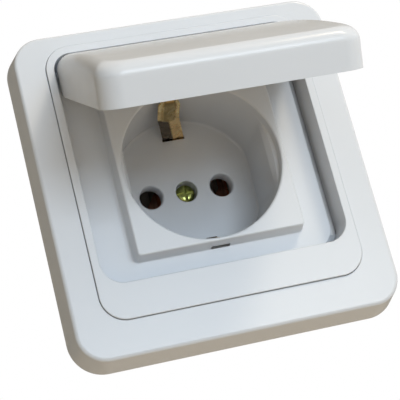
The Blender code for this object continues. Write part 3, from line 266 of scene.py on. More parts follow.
class SocketFinishes(bpy.types.PropertyGroup):
    """Colours and gloss of the pieces."""

    white: FloatVectorProperty(
        name="White plastic", description="Colour of the frames, the cover and the lid",
        default=(0.655, 0.680, 0.715), size=3, subtype="COLOR", min=0.0, max=1.0)
    white_roughness: FloatProperty(
        name="White roughness", description="Roughness of the glossy white mouldings",
        default=0.24, min=0.0, max=1.0)
    base: FloatVectorProperty(
        name="Base plastic", description="Colour of the base behind the wall",
        default=(0.50, 0.51, 0.50), size=3, subtype="COLOR", min=0.0, max=1.0)
    brass: FloatVectorProperty(
        name="Brass", description="Colour of the earth strap and of the terminals",
        default=(0.80, 0.56, 0.25), size=3, subtype="COLOR", min=0.0, max=1.0)
    yellow_zinc: FloatVectorProperty(
        name="Yellow zinc", description="Colour of the centre screw's coating",
        default=(0.33, 0.34, 0.12), size=3, subtype="COLOR", min=0.0, max=1.0)
    copper: FloatVectorProperty(
        name="Contact copper", description="Colour of the two contacts",
        default=(0.68, 0.30, 0.17), size=3, subtype="COLOR", min=0.0, max=1.0)
    steel: FloatVectorProperty(
        name="Zinc-plated steel", description="Colour of the ring, the claws and the plated screws",
        default=(0.56, 0.57, 0.58), size=3, subtype="COLOR", min=0.0, max=1.0)


class SocketStage(bpy.types.PropertyGroup):
    """Camera, lamps and floor."""

    camera_place: FloatVectorProperty(
        name="Camera place", description="Where the camera stands",
        default=(-0.0808, -0.3078, -0.0991), size=3, subtype="TRANSLATION", unit="LENGTH")
    camera_target: FloatVectorProperty(
        name="Camera target", description="The point that the camera looks at",
        default=(-0.0017, 0.0, -0.0100), size=3, subtype="TRANSLATION", unit="LENGTH")
    camera_roll: FloatProperty(
        name="Camera roll", description="Turn of the camera about its line of sight",
        default=math.radians(-14.53), subtype="ANGLE")
    camera_lens: FloatProperty(
        name="Camera lens", description="Focal length in millimetres on a 36 mm sensor",
        default=120.5, min=10.0, max=400.0)
    camera_rise: FloatProperty(
        name="Camera shift", description="Upward shift of the picture's frame",
        default=0.025, min=-0.1, max=0.1)
    floor_height: FloatProperty(
        name="Floor height", description="Height of the floor under the socket",
        default=-0.118, unit="LENGTH")
    sky: FloatProperty(
        name="Sky strength", description="Strength of the soft light from all round",
        default=0.60, min=0.0, max=3.0)
    daylight: FloatProperty(
        name="Daylight strength", description="Strength of the large cool lamp in front, in watts",
        default=7.4, min=0.0, max=50.0)
    sun: FloatProperty(
        name="Sun strength", description="Strength of the small warm lamp above on the right, in watts",
        default=2.8, min=0.0, max=50.0)


# Shader maths

class Signal:
    """One output of a material's node; arithmetic on it adds Math nodes."""

    def __init__(self, finish, socket):
        self.finish = finish
        self.socket = socket

    def maths(self, operation, first, second):
        return self.finish.node("ShaderNodeMath", {"operation": operation}, {0: first, 1: second})

    def __add__(self, other):
        return self.maths("ADD", self, other)

    def __radd__(self, other):
        return self.maths("ADD", other, self)

    def __sub__(self, other):
        return self.maths("SUBTRACT", self, other)

    def __rsub__(self, other):
        return self.maths("SUBTRACT", other, self)

    def __mul__(self, other):
        return self.maths("MULTIPLY", self, other)

    def __rmul__(self, other):
        return self.maths("MULTIPLY", other, self)

    def at_most(self, other):
        return self.maths("MINIMUM", self, other)

    def at_least(self, other):
        return self.maths("MAXIMUM", self, other)

    def size(self):
        return self.maths("ABSOLUTE", self, 0.0)


class Finish:
    """A material under construction; one method adds every kind of node."""

    def __init__(self, name, tree=None):
        if tree is None:
            self.material = bpy.data.materials.new(name)
            self.material.use_nodes = True
            tree = self.material.node_tree
        self.tree = tree
        self.tree.nodes.clear()

    def node(self, kind, settings=None, inputs=None, output=0):
        """Add a node: its settings first, then the values or links of its sockets."""
        added = self.tree.nodes.new(kind)
        for key, value in (settings or {}).items():
            if key == "stops":
                self.set_stops(added.color_ramp, value)
            else:
                setattr(added, key, value)
        for key, value in (inputs or {}).items():
            if isinstance(value, Signal):
                self.tree.links.new(value.socket, added.inputs[key])
            else:
                added.inputs[key].default_value = value
        return Signal(self, added.outputs[output]) if len(added.outputs) else None

    def set_stops(self, ramp, stops):
        """Give a colour ramp its stops, each a position and a grey or a colour."""
        while len(ramp.elements) < len(stops):
            ramp.elements.new(1.0)
        for element, (position, value) in zip(ramp.elements, stops):
            element.position = position
            element.color = (value, value, value, 1.0) if isinstance(value, float) else (*value, 1.0)

    def place(self):
        """The point on the piece, in object coordinates."""
        return self.node("ShaderNodeTexCoord", output="Object")

    def axis(self, index):
        """One coordinate of the point on the piece: 0 for X, 1 for Y, 2 for Z."""
        return self.node("ShaderNodeSeparateXYZ", None, {0: self.place()}, index)

    def slope(self, value, start, end):
        """0 at the start, 1 at the end, a straight slope between them and level beyond."""
        return self.node("ShaderNodeMapRange", None, {0: value, 1: start, 2: end, 3: 0.0, 4: 1.0})

    def noise(self, scale, detail=2.0, roughness=0.5, stretch=None):
        """Cloudy noise between 0 and 1, with about `scale` blotches to the metre."""
        where = self.place()
        if stretch:
            where = self.node("ShaderNodeMapping", None, {"Vector": where, "Scale": stretch})
        return self.node("ShaderNodeTexNoise", None,
                         {"Vector": where, "Scale": scale, "Detail": detail, "Roughness": roughness})

    def ramp(self, factor, *stops):
        """A factor led through a ramp of greys."""
        return self.node("ShaderNodeValToRGB", {"stops": stops}, {"Fac": factor})

    def mix(self, factor, first, second):
        """Blend of two colours."""
        return self.node("ShaderNodeMix", {"data_type": "RGBA"},
                         {0: factor, 6: rgba(first), 7: rgba(second)}, 2)

    def bump(self, height, distance, strength=1.0):
        """Normal of a relief that is `distance` metres deep."""
        return self.node("ShaderNodeBump", None,
                         {"Height": height, "Distance": distance, "Strength": strength})

    def close(self, inputs):
        """End the material in a Principled shader with these inputs, and return it."""
        shader = self.node("ShaderNodeBsdfPrincipled", None, inputs)
        self.node("ShaderNodeOutputMaterial", None, {"Surface": shader})
        return self.material


def rgba(colour):
    """A plain colour as four numbers; a link passes through."""
    return colour if isinstance(colour, Signal) else (*colour[:3], 1.0)


def shade(colour, factor):
    """A colour made lighter or darker."""
    return tuple(min(channel * factor, 1.0) for channel in colour)


# Materials

def moulded_plastic(name, colour, roughness, grain):
    """Moulded plastic: very faint clouds in colour and gloss, and a slight orange peel."""
    finish = Finish(name)
    clouds = finish.noise(38.0, 3.0)
    streaks = finish.noise(75.0, 4.0, 0.6, stretch=(1.0, 1.6, 3.0))
    handling = finish.ramp(streaks, (0.45, 0.0), (0.75, 1.0))
    peel = finish.noise(420.0, 1.0)
    skin = finish.noise(1900.0, 2.0)
    tone = finish.mix(clouds, shade(colour, 0.985), shade(colour, 1.012))
    gloss = roughness - 0.02 + 0.04 * clouds + 0.02 * handling
    relief = finish.bump(peel + grain * skin, 0.000006, 0.35)
    return finish.close({"Base Color": tone, "Roughness": gloss, "Normal": relief, "IOR": 1.5,
                         "Specular IOR Level": 0.32})


def matt_plastic(name, colour):
    """Matt grey moulding with a fine spark-eroded grain."""
    finish = Finish(name)
    clouds = finish.noise(55.0, 3.0)
    grain = finish.noise(3400.0, 3.0, 0.7)
    tone = finish.mix(clouds, shade(colour, 0.9), shade(colour, 1.07))
    return finish.close({"Base Color": tone, "Roughness": 0.46 + 0.12 * grain,
                         "Normal": finish.bump(grain, 0.00003, 0.6)})


def sheet_metal(name, colour, stain, roughness, draw):
    """Rolled or turned metal: drawing lines along one way, stains and small pits."""
    finish = Finish(name)
    lines = finish.noise(900.0, 4.0, 0.6, stretch=draw)
    stains = finish.ramp(finish.noise(260.0, 3.0, 0.6), (0.42, 0.0), (0.72, 1.0))
    pits = finish.noise(2300.0, 2.0)
    tone = finish.mix(stains, colour, stain)
    gloss = roughness - 0.06 + 0.14 * lines + 0.12 * stains
    return finish.close({"Base Color": tone, "Metallic": 1.0, "Roughness": gloss,
                         "Normal": finish.bump(lines + 0.4 * pits, 0.00001, 0.6)})


TONE_EDGE = 0.0002
# Painted shade: near-black brown for the whole lower clip and for the upper clip's left half behind the
# crease
CLIP_SHADE = (0.045, 0.030, 0.016)
# Painted shade: the brown of a band down each clip's middle in front of the crease
BAND_SHADE = (0.30, 0.19, 0.07)


def strap_brass(size, colour):
    """The earth clips' brass: drawn lines and stains, with painted shade: a brown band down each clip's
    middle in front of the crease, which leaves its edges bright as painted highlights, and near-black
    shade over the upper clip's left half behind the crease and over the whole lower clip.

    The distance from a clip's middle line is x less the line's own lean, which has one kink in y.
    """
    finish = Finish("strap brass")
    lines = finish.noise(900.0, 4.0, 0.6, stretch=(1.0, 0.12, 0.12))
    stains = finish.ramp(finish.noise(420.0, 3.0, 0.6), (0.40, 0.0), (0.70, 1.0))
    to_back = finish.slope(finish.axis(1), STRAP_CREASE[0], size.well_floor)
    to_crease = finish.slope(finish.axis(1), STRAP_TIP[0], STRAP_CREASE[0])
    lean = size.strap_lean * (1.0 - to_back) + size.strap_tip_lean * (1.0 - to_crease)
    aside = finish.axis(0) - lean
    crease = STRAP_CREASE[0]
    behind = finish.slope(finish.axis(1), crease - 1.5 * TONE_EDGE, crease + 3.0 * TONE_EDGE)
    in_front = 1.0 - behind
    upper = finish.slope(finish.axis(2), -5.0 * TONE_EDGE, 5.0 * TONE_EDGE)
    band = size.strap_band / 2
    # Painted shade: a brown band down the clip's middle in front of the crease, which leaves its edges
    # brighter as painted highlights
    middle = finish.slope(aside.size(), band + TONE_EDGE, band - TONE_EDGE)
    middle = middle * in_front * (0.55 + 0.45 * lines)
    # Painted shade: the upper clip's left half behind the crease, and the whole lower clip, turned
    # near-black brown
    left = finish.slope(aside, TONE_EDGE, -1.5 * TONE_EDGE) * behind * upper
    painted_shade = (left + (1.0 - upper)).at_most(1.0) * 0.94
    tone = finish.mix(0.5 * stains, shade(colour, 1.2), shade(colour, 0.7))
    tone = finish.mix(middle, tone, BAND_SHADE)
    tone = finish.mix(painted_shade, tone, CLIP_SHADE)
    gloss = 0.17 + 0.12 * lines + 0.12 * stains
    return finish.close({"Base Color": tone, "Metallic": 1.0, "Roughness": gloss,
                         "Normal": finish.bump(lines, 0.00001, 0.6)})


def plated_metal(name, colour, tint, roughness):
    """Zinc plating: small crystals with a slight change of tone, and a passivated tint."""
    finish = Finish(name)
    crystals = finish.node("ShaderNodeTexVoronoi", None,
                           {"Vector": finish.place(), "Scale": 420.0}, "Color")
    grey = finish.node("ShaderNodeRGBToBW", None, {"Color": crystals})
    haze = finish.ramp(finish.noise(140.0, 3.0), (0.35, 0.0), (0.7, 1.0))
    tone = finish.mix(haze, shade(colour, 0.93), tint)
    gloss = roughness + 0.08 * grey + 0.1 * haze
    return finish.close({"Base Color": tone, "Metallic": 1.0, "Roughness": gloss,
                         "Normal": finish.bump(finish.noise(1800.0, 2.0), 0.000008, 0.5)})


# Surfaces

def skin(name, rows, start=None, end=None, ring=False):
    """Closed mesh from a grid of points: each row a closed loop, its neighbours joined by quads.

    The ends are closed by a pole each, or, on a ring, the last row meets the first.
    """
    rows = np.asarray(rows, dtype=float)
    count, width = rows.shape[:2]
    points = rows.reshape(-1, 3)
    index = np.arange(count * width).reshape(count, width)
    following = np.roll(index, -1, axis=1)
    last = count if ring else count - 1
    upper = np.roll(index, -1, axis=0)[:last]
    upper_following = np.roll(upper, -1, axis=1)
    quads = np.stack((index[:last], following[:last], upper_following, upper), axis=-1).reshape(-1, 4)
    fans = []
    for pole, row, forwards in ((start, 0, False), (end, count - 1, True)):
        if pole is not None:
            tip = np.full(width, len(points))
            points = np.vstack((points, pole))
            edge = (index[row], following[row]) if forwards else (following[row], index[row])
            fans.append(np.stack((*edge, tip), axis=-1))
    faces = quads.tolist() + [face for fan in fans for face in fan.tolist()]
    return solid(name, points, faces)


def solid(name, points, faces):
    """Mesh object with its faces turned outwards, by the sign of the volume that they enclose."""
    corners = [np.array([[face[0], face[i], face[i + 1]] for face in faces if len(face) > i + 1])
               for i in range(1, max(len(face) for face in faces) - 1)]
    triangles = points[np.vstack(corners)]
    volume = np.einsum("ij,ij->", triangles[:, 0], np.cross(triangles[:, 1], triangles[:, 2]))
    if volume < 0.0:
        faces = [face[::-1] for face in faces]
    mesh = bpy.data.meshes.new(name)
    mesh.from_pydata(points.tolist(), [], faces)
    mesh.update()
    piece = bpy.data.objects.new(name, mesh)
    bpy.context.scene.collection.objects.link(piece)
    return piece


def filleted(corners, closed=False, steps=ARC_STEPS):
    """Profile through corners (u, v, radius), each corner an arc that is tangent to both its sides.

    A point on the arc is its centre plus the two radii at its ends, weighed by the sines of the
    turn still to go and the turn done. One more point stands just outside each end of the arc.
    """
    corners = np.array(corners, dtype=float)
    count = len(corners)
    share = np.linspace(0.0, 1.0, steps + 1)[:, None]
    points = []
    for i, (u, v, radius) in enumerate(corners):
        here = np.array((u, v))
        if radius == 0.0 or (not closed and i in (0, count - 1)):
            points.append(here[None, :])
            continue
        before = corners[i - 1, :2] - here
        after = corners[(i + 1) % count, :2] - here
        before /= np.linalg.norm(before)
        after /= np.linalg.norm(after)
        half = math.acos(float(np.clip(before @ after, -1.0, 1.0))) / 2.0
        run = radius / math.tan(half)
        middle = before + after
        centre = here + middle / np.linalg.norm(middle) * radius / math.sin(half)
        turn = math.pi - 2.0 * half
        start = here + before * run
        end = here + after * run
        arc = centre + (np.sin((1.0 - share) * turn) * (start - centre)
                        + np.sin(share * turn) * (end - centre)) / math.sin(turn)
        points += [(start + before * HOLD)[None, :], arc, (end + after * HOLD)[None, :]]
    return np.vstack(points)


def rounded_outline(half_width, low, high, low_radius, high_radius):
    """Rounded rectangle in X and Z: a quarter circle at each corner, straight runs between."""
    corners = ((1.0, high, high_radius, 0.0), (-1.0, high, high_radius, 90.0),
               (-1.0, low, low_radius, 180.0), (1.0, low, low_radius, 270.0))
    arcs = []
    for side, edge, radius, start in corners:
        turn = np.radians(np.linspace(start, start + 90.0, CORNER_STEPS + 1))
        normal = np.column_stack((np.cos(turn), np.sin(turn)))
        centre_z = edge - radius if edge == high else edge + radius
        centre = np.array((side * (half_width - radius), centre_z))
        arcs.append((centre + radius * normal, normal))
    share = np.linspace(0.0, 1.0, SIDE_STEPS + 1)[1:-1, None]
    points = []
    normals = []
    for i, (arc, normal) in enumerate(arcs):
        onward = arcs[(i + 1) % len(arcs)][0][0]
        points += [arc, arc[-1] * (1.0 - share) + onward * share]
        normals += [normal, np.repeat(normal[-1:], len(share), axis=0)]
    return np.vstack(points), np.vstack(normals)


def carried(outline, profile):
    """Grid of a profile of (growth, height) pairs carried round an outline along its normals."""
    points, normals = outline
    flat = points[None] + profile[:, 0][:, None, None] * normals[None]
    height = np.broadcast_to(profile[:, 1][:, None], flat.shape[:2])
    return np.stack((flat[..., 0], -height, flat[..., 1]), axis=-1)


def turned(name, profile, centre=(0.0, 0.0), sides=ROUND_SIDES):
    """Solid of revolution along Y from (radius, y) pairs; a pole closes each end."""
    profile = np.array(profile, dtype=float)
    angles = np.arange(sides) * 2.0 * math.pi / sides
    x = centre[0] + profile[:, 0][:, None] * np.cos(angles)
    z = centre[1] + profile[:, 0][:, None] * np.sin(angles)
    y = np.broadcast_to(profile[:, 1][:, None], x.shape)
    poles = [(centre[0], end, centre[1]) for end in (profile[0, 1], profile[-1, 1])]
    return skin(name, np.stack((x, y, z), axis=-1), *poles)


def block(name, low, high):
    """Box between two corners, for cutting."""
    x0, y0, z0 = low
    x1, y1, z1 = high
    points = np.array([(x, y, z) for z in (z0, z1) for x, y in ((x0, y0), (x1, y0), (x1, y1), (x0, y1))])
    sides = [[i, (i + 1) % 4, (i + 1) % 4 + 4, i + 4] for i in range(4)]
    return solid(name, points, sides + [[3, 2, 1, 0], [4, 5, 6, 7]])


def combine(piece, tools, operation):
    """Cut the tools out of a piece, or join them to it, and drop them."""
    for tool in tools:
        modifier = piece.modifiers.new("Combine", "BOOLEAN")
        modifier.operation = operation
        modifier.object = tool
        bpy.context.view_layer.update()
        graph = bpy.context.evaluated_depsgraph_get()
        piece.data = bpy.data.meshes.new_from_object(piece.evaluated_get(graph))
        piece.modifiers.clear()
        bpy.data.objects.remove(tool, do_unlink=True)
    return piece


def merged(tools):
    """Several solids that stand apart, as one object, so that one Boolean takes them all."""
    first = tools[0]
    mesh = bpy.data.meshes.new(first.name)
    points = []
    faces = []
    offset = 0
    for tool in tools:
        count = len(tool.data.vertices)
        flat = np.empty(count * 3)
        tool.data.vertices.foreach_get("co", flat)
        points.append(flat.reshape(-1, 3))
        faces += [[index + offset for index in face.vertices] for face in tool.data.polygons]
        offset += count
    mesh.from_pydata(np.vstack(points).tolist(), [], faces)
    mesh.update()
    first.data = mesh
    for tool in tools[1:]:
        bpy.data.objects.remove(tool, do_unlink=True)
    return first


def cut(piece, *tools):
    """Cut solids that stand apart out of a piece."""
    return combine(piece, [merged(tools)], "DIFFERENCE")


def join(piece, *tools):
    """Join each solid to a piece."""
    return combine(piece, tools, "UNION")


def dressed(piece, material, body, slot, *nodes):
    """Shade a finished piece, give it its material, and let it stand for its nodes."""
    piece.data.materials.clear()
    piece.data.materials.append(material)
    piece.data.shade_smooth()
    piece.data.set_sharp_from_angle(angle=math.radians(SHARP_ANGLE))
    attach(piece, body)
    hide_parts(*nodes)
    return piece


def white_plastic(scene, name):
    """The mouldings' glossy white plastic."""
    finishes = scene.socket_finishes
    return moulded_plastic(name, finishes.white, finishes.white_roughness, 0.35)


# Outlines that pieces share

def frame_outline(size):
    """The outer frame's outline at the wall."""
    corner = size.frame_corner
    return rounded_outline(FRAME_HIGH[0], FRAME_LOW[2], FRAME_HIGH[2], corner, corner)


def insert_outline(size):
    """The insert frame's outline."""
    corner = size.insert_corner
    return rounded_outline(INSERT_HIGH[0], INSERT_LOW[2], INSERT_HIGH[2], corner, corner)


def recess_edges(size):
    """Half width, lower edge and upper edge of the recess's mouth."""
    return INSERT_HIGH[0] - size.land_side, INSERT_LOW[2] + size.apron, INSERT_HIGH[2] - size.land_top


FOOT_HEIGHT = 0.0013
FOOT_EDGE = 0.00025
SILL_TOP = 0.0017
SILL_WIDTH = 0.0018
RECESS_DRAFT = 0.0003

# How far the open strip of the sill stays clear of the recess's lower and upper corner
STRIP_LOW = 0.0035
STRIP_HIGH = 0.0040


class SOCKET_OT_outer_frame(bpy.types.Operator):
    """Build the outer frame: a drafted shell with a rounded edge and a stepped opening"""

    bl_idname = "socket.outer_frame"
    bl_label = "Outer frame"

    def execute(self, context):
        size = context.scene.socket_sizes
        face = -FRAME_LOW[1]
        under = face - size.frame_wall
        skirt = SHADOW_GAP + size.frame_wall
        outside = filleted([
            (-size.frame_wall, 0.0, 0.0),
            (0.0, 0.0, FOOT_EDGE),
            (-size.frame_lean, face, size.frame_edge),
            (-size.frame_lean - size.frame_edge, face, 0.0),
        ])
        opening = filleted([
            (size.joint_width + size.insert_edge * 2, face, 0.0),
            (size.joint_width, face, size.insert_edge),
            (size.joint_width, size.ledge_height, 0.0),
            (SHADOW_GAP - size.ledge_width, size.ledge_height, 0.0),
            (SHADOW_GAP - size.ledge_width, FOOT_HEIGHT, 0.0),
            (skirt - size.ledge_width, FOOT_HEIGHT, 0.0),
            (skirt, size.ledge_height - size.frame_wall / 2, 0.0),
            (skirt, under, 0.0),
        ])
        inside = np.array([(-size.frame_lean - size.frame_wall, under), (-size.frame_wall, HOLD)])
        outline = frame_outline(size)
        rows = np.concatenate((carried(outline, outside), carried(insert_outline(size), opening),
                               carried(outline, inside)))
        piece = skin("outer_frame_moulding", rows, ring=True)
        plastic = white_plastic(context.scene, "frame plastic")
        dressed(piece, plastic, "socket", "white_plastic", "outer_frame")
        return {"FINISHED"}


class SOCKET_OT_insert_frame(bpy.types.Operator):
    """Build the insert frame: a surround with softened edges and the recess for the lid"""

    bl_idname = "socket.insert_frame"
    bl_label = "Insert frame"

    def execute(self, context):
        size = context.scene.socket_sizes
        face = -INSERT_LOW[1]
        flange = size.ledge_height + SEAT_GAP
        lower = SHADOW_GAP - size.ledge_width - SEAT_GAP
        outside = filleted([
            (lower, FOOT_HEIGHT, 0.0), (lower, flange, 0.0), (0.0, flange, 0.0),
            (0.0, face, size.insert_edge), (-size.insert_edge * 2, face, 0.0),
        ])
        inside = filleted([
            (size.insert_edge * 1.5, face, 0.0), (0.0, face, size.insert_edge),
            (-RECESS_DRAFT, SILL_TOP, 0.0), (-RECESS_DRAFT - SILL_WIDTH, SILL_TOP, 0.0),
            (-RECESS_DRAFT - SILL_WIDTH, FOOT_HEIGHT, 0.0),
        ])
        half_width, low, high = recess_edges(size)
        recess = rounded_outline(half_width, low, high, size.recess_low_corner, size.recess_high_corner)
        rows = np.concatenate((carried(insert_outline(size), outside), carried(recess, inside)))
        piece = skin("insert_frame_moulding", rows, ring=True)
        cut(piece, *claw_screw_reliefs(SILL_TOP + SEAT_GAP))
        wall = half_width - RECESS_DRAFT - HOLD
        near = (wall - SILL_WIDTH - CUT_PAST, -SILL_TOP - CUT_ASIDE, low + STRIP_LOW)
        cut(piece, block("sill_strip", near, (wall, 0.0, high - STRIP_HIGH)))
        plastic = white_plastic(context.scene, "insert plastic")
        dressed(piece, plastic, "socket", "white_plastic", "insert_frame")
        return {"FINISHED"}


def claw_screw_reliefs(top):
    """Cutters that free the two claw screws' heads from a moulding."""
    radius = (CLAW_SCREW_HIGH[2] - CLAW_SCREW_LOW[2]) / 2 + SEAT_GAP
    middle = (CLAW_SCREW_LOW[0] + CLAW_SCREW_HIGH[0]) / 2
    return [turned("relief", [(radius, -top), (radius, 0.0)], (side * middle, 0.0), SMALL_ROUND_SIDES)
            for side in SIDES]


# Socket cover

# Columns: the turn between two, the least turn kept, and those over a guide rib's flank
COLUMN_TURN = 2.5
LEAST_TURN = 0.14
FLANK_COLUMNS = 16
FLANK_FOOT = 0.0006
FLANK_CREST = 0.0008

# Where the surface bends: radii, drafts and blends
CUP_EDGE = 0.0005
SKIRT_WALL = 0.0014
LIP_EDGE = 0.0002
BLOCK_FOOT = 0.0004
BLOCK_DRAFT = 0.0005
WELL_DRAFT = 0.0003
WELL_BLEND = 0.00035
RIB_BLEND = 0.0003
RIB_ROOT = 0.00075
RIB_START = 0.0030

# A guide rib's front: steps along its slope, each with the share of its height that is reached
RIB_RISE = ((-0.35, 0.0), (-0.12, 0.02), (-0.04, 0.12), (0.02, 0.36), (0.06, 0.46), (0.14, 0.52),
            (0.3, 0.6), (0.6, 0.77), (0.85, 0.91), (0.97, 0.965), (1.06, 0.99), (1.2, 1.0))

# Mouths of the pin holes and of the screw recess: growth of the radius and depth behind the floor
PIN_MOUTH = ((0.0009, -0.0006), (0.00035, 0.0), (0.00012, 0.00015), (0.0, 0.0004))
SCREW_MOUTH = ((0.0008, -0.0006), (0.0002, 0.0), (0.0, 0.0002))
HEAD_SEAT = 0.0013

# Latch slot, measured from the middle of the block's foot
LATCH_LOW = np.array((-0.0024, -0.0013, -0.0007))
LATCH_HIGH = np.array((0.0024, 0.0020, 0.0004))

# Ears: how deep they stand in the plate, and how much their edges are drawn in
EAR_ROOT = 0.0008
EAR_EDGE = 0.0003

# Rings of the well's flat floor, as shares of its rim
FLOOR_RINGS = (1.0, 0.93, 0.86, 0.78, 0.7, 0.62, 0.54, 0.46, 0.38, 0.3, 0.22, 0.14, 0.07)


def reach(angles, half_width, low, high, low_radius, high_radius):
    """Distance from the well's axis to a rounded rectangle, along each angle.

    The nearest straight side gives half width over cosine, or height over sine; where that
    point falls in a corner, the distance is the root of the corner circle's equation.
    """
    cosine = np.cos(angles)
    sine = np.sin(angles)
    edge = np.where(sine > 0.0, high, low)
    radius = np.where(sine > 0.0, high_radius, low_radius)
    with np.errstate(divide="ignore"):
        straight = np.minimum(half_width / np.abs(cosine), np.abs(edge) / np.abs(sine))
    centre_x = np.sign(cosine) * (half_width - radius)
    centre_z = np.sign(sine) * (np.abs(edge) - radius)
    beyond_x = np.abs(straight * cosine) > np.abs(centre_x)
    beyond_z = np.abs(straight * sine) > np.abs(centre_z)
    along = centre_x * cosine + centre_z * sine
    across = centre_x ** 2 + centre_z ** 2 - along ** 2
    bend = along + np.sqrt(np.maximum(radius ** 2 - across, 0.0))
    return np.where(beyond_x & beyond_z, bend, straight)


def soft_min(first, second, blend):
    """The smaller of two lengths, rounded over where they cross."""
    return (first + second - np.sqrt((first - second) ** 2 + blend ** 2)) / 2.0


def soft_max(first, second, blend):
    """The larger of two lengths, rounded over where they cross."""
    return (first + second + np.sqrt((first - second) ** 2 + blend ** 2)) / 2.0


def cover_angles(size):
    """Directions of the cover's columns, closer together at corners and at the ribs' flanks."""
    half_width, low, high = recess_edges(size)
    outlines = [
        rounded_outline(size.block_width / 2, size.block_bottom, size.block_top, size.block_corner,
                        size.block_corner),
        rounded_outline(half_width, low, high, size.recess_low_corner, size.recess_high_corner),
    ]
    corners = [np.arctan2(points[::2, 1], points[::2, 0]) for points, _ in outlines]
    foot = math.asin((size.key_half_width + FLANK_FOOT) / size.well_radius)
    crest = math.asin((size.key_half_width - size.key_flank - FLANK_CREST) / size.well_radius)
    flank = np.linspace(crest, foot, FLANK_COLUMNS)
    flanks = [flank, -flank, math.pi - flank, flank - math.pi]
    even = np.radians(np.arange(-180.0, 180.0, COLUMN_TURN))
    angles = np.sort(np.concatenate(corners + flanks + [even]))
    angles = np.mod(angles + math.pi, 2.0 * math.pi) - math.pi
    angles = np.sort(angles)
    keep = np.concatenate(([True], np.diff(angles) > math.radians(LEAST_TURN)))
    return angles[keep]


def rib_reach(angles, size):
    """Distance to a guide rib's surface: a flat crest with a sloping flank on each side."""
    crest_x = size.well_radius - size.key_proud
    foot_x = size.well_radius + RIB_ROOT
    crest_z = size.key_half_width - size.key_flank
    run = np.array((foot_x - crest_x, size.key_flank))
    normal = np.array((-run[1], run[0])) / np.linalg.norm(run)
    offset = normal @ np.array((crest_x, crest_z))
    x = np.abs(np.cos(angles))
    z = np.abs(np.sin(angles))
    crest = crest_x / np.maximum(x, 0.2)
    facing = normal[0] * x + normal[1] * z
    flank = np.where(facing > 0.02, offset / np.maximum(facing, 0.02), 0.0)
    return soft_max(crest, flank, RIB_BLEND)


def cover_rows(size):
    """Rows of the cover from the screw boss round the plate, over the block and down into the well.

    Each row is a distance from the well's axis along every angle, at a depth that may change
    with the angle: row = distance * (cosine, sine).
    """
    angles = cover_angles(size)
    half_width, low, high = recess_edges(size)
    even = np.ones_like(angles)

    def plate(inset):
        inset = inset + RECESS_DRAFT + SHADOW_GAP
        half = half_width - inset - np.where(np.cos(angles) > 0.0, size.cover_gap, 0.0)
        return reach(angles, half, low + inset, high - inset,
                     size.recess_low_corner - inset, size.recess_high_corner - inset * 0.7)

    def raised(inset):
        corner = max(size.block_corner - inset, size.block_corner * 0.3)
        return reach(angles, size.block_width / 2 - inset, size.block_bottom + inset,
                     size.block_top - inset, corner, corner)

    rows = []

    def add(distance, y):
        rows.append((distance * even, y * even))

    floor = size.well_floor
    cup_back = floor + CUP_FLOOR
    cup = size.well_radius + WELL_WALL
    boss = size.screw_recess + BOSS_WALL
    boss_back = COVER_HIGH[1]
    lip_under = size.plate_floor - LIP_WALL
    plate_back = size.plate_floor - PLATE_WALL
    skirt = SILL_WIDTH + SKIRT_WALL
    add(boss - SEAT_GAP, boss_back)
    add(boss, boss_back - SEAT_GAP)
    add(boss, cup_back)
    add(cup - CUP_EDGE, cup_back)
    add(cup - CUP_EDGE / 5, cup_back - CUP_EDGE / 5)
    add(cup, cup_back - CUP_EDGE)
    add(cup, -plate_back)
    add(plate(skirt), -plate_back)
    add(plate(skirt), -FOOT_HEIGHT)
    add(plate(SILL_WIDTH), -FOOT_HEIGHT)
    add(plate(SILL_WIDTH), -lip_under)
    add(plate(0.0), -lip_under)
    for turn in np.radians((0.0, 30.0, 60.0, 90.0)):
        add(plate(LIP_EDGE * (1.0 - math.cos(turn))),
            -(size.plate_floor - LIP_EDGE + LIP_EDGE * math.sin(turn)))
    add(plate(LIP_EDGE + HOLD), -size.plate_floor)
    add(raised(-BLOCK_DRAFT - BLOCK_FOOT - HOLD), -size.plate_floor)
    for turn in np.radians((0.0, 18.0, 36.0, 54.0, 72.0, 90.0)):
        add(raised(-BLOCK_DRAFT - BLOCK_FOOT + BLOCK_FOOT * math.sin(turn)),
            -(size.plate_floor + BLOCK_FOOT - BLOCK_FOOT * math.cos(turn)))
    wall = size.well_radius
    land = raised(0.0) - wall
    edge = np.minimum(size.block_edge, 0.42 * land)
    face = -size.block_height
    side_height = size.block_height - size.plate_floor - BLOCK_FOOT
    add(raised(-HOLD * BLOCK_DRAFT / side_height), face + edge + HOLD)
    for turn in np.radians(np.linspace(0.0, 90.0, ARC_STEPS)):
        add(raised(0.0) - edge * (1.0 - math.cos(turn)), face + edge * (1.0 - math.sin(turn)))
    hold = np.minimum(HOLD, 0.05 * land)
    add(raised(0.0) - edge - hold, face)
    middle = (raised(0.0) + wall) / 2
    add(middle, face)
    add(wall + edge + hold, face)
    for turn in np.radians(np.linspace(0.0, 90.0, ARC_STEPS)):
        add(wall + edge * (1.0 - math.sin(turn)), face + edge * (1.0 - math.cos(turn)))
    add(wall, face + edge + HOLD)
    rib = rib_reach(angles, size)
    front = face + RIB_START

    def in_well(y, share):
        drafted = wall - WELL_DRAFT * (y - face) / (floor - face)
        full = soft_min(drafted * even, rib, WELL_BLEND)
        return drafted - share * np.maximum(drafted - full, 0.0)

    for along, share in RIB_RISE:
        y = front + size.key_proud * along
        add(in_well(y, share), y)
    fillet = size.well_fillet
    add(in_well(floor - fillet - HOLD, 1.0), floor - fillet - HOLD)
    low_wall = in_well(floor - fillet, 1.0)
    for turn in np.radians(np.linspace(0.0, 90.0, ARC_STEPS)):
        add(low_wall - fillet * (1.0 - math.cos(turn)), floor - fillet + fillet * math.sin(turn))
    rim = low_wall - fillet - HOLD
    for share in FLOOR_RINGS:
        add(rim * share, floor)
    distance = np.array([row[0] for row in rows])
    depth = np.array([row[1] for row in rows])
    grid = np.stack((distance * np.cos(angles), depth, distance * np.sin(angles)), axis=-1)
    return grid, (0.0, boss_back, 0.0), (0.0, floor, 0.0)


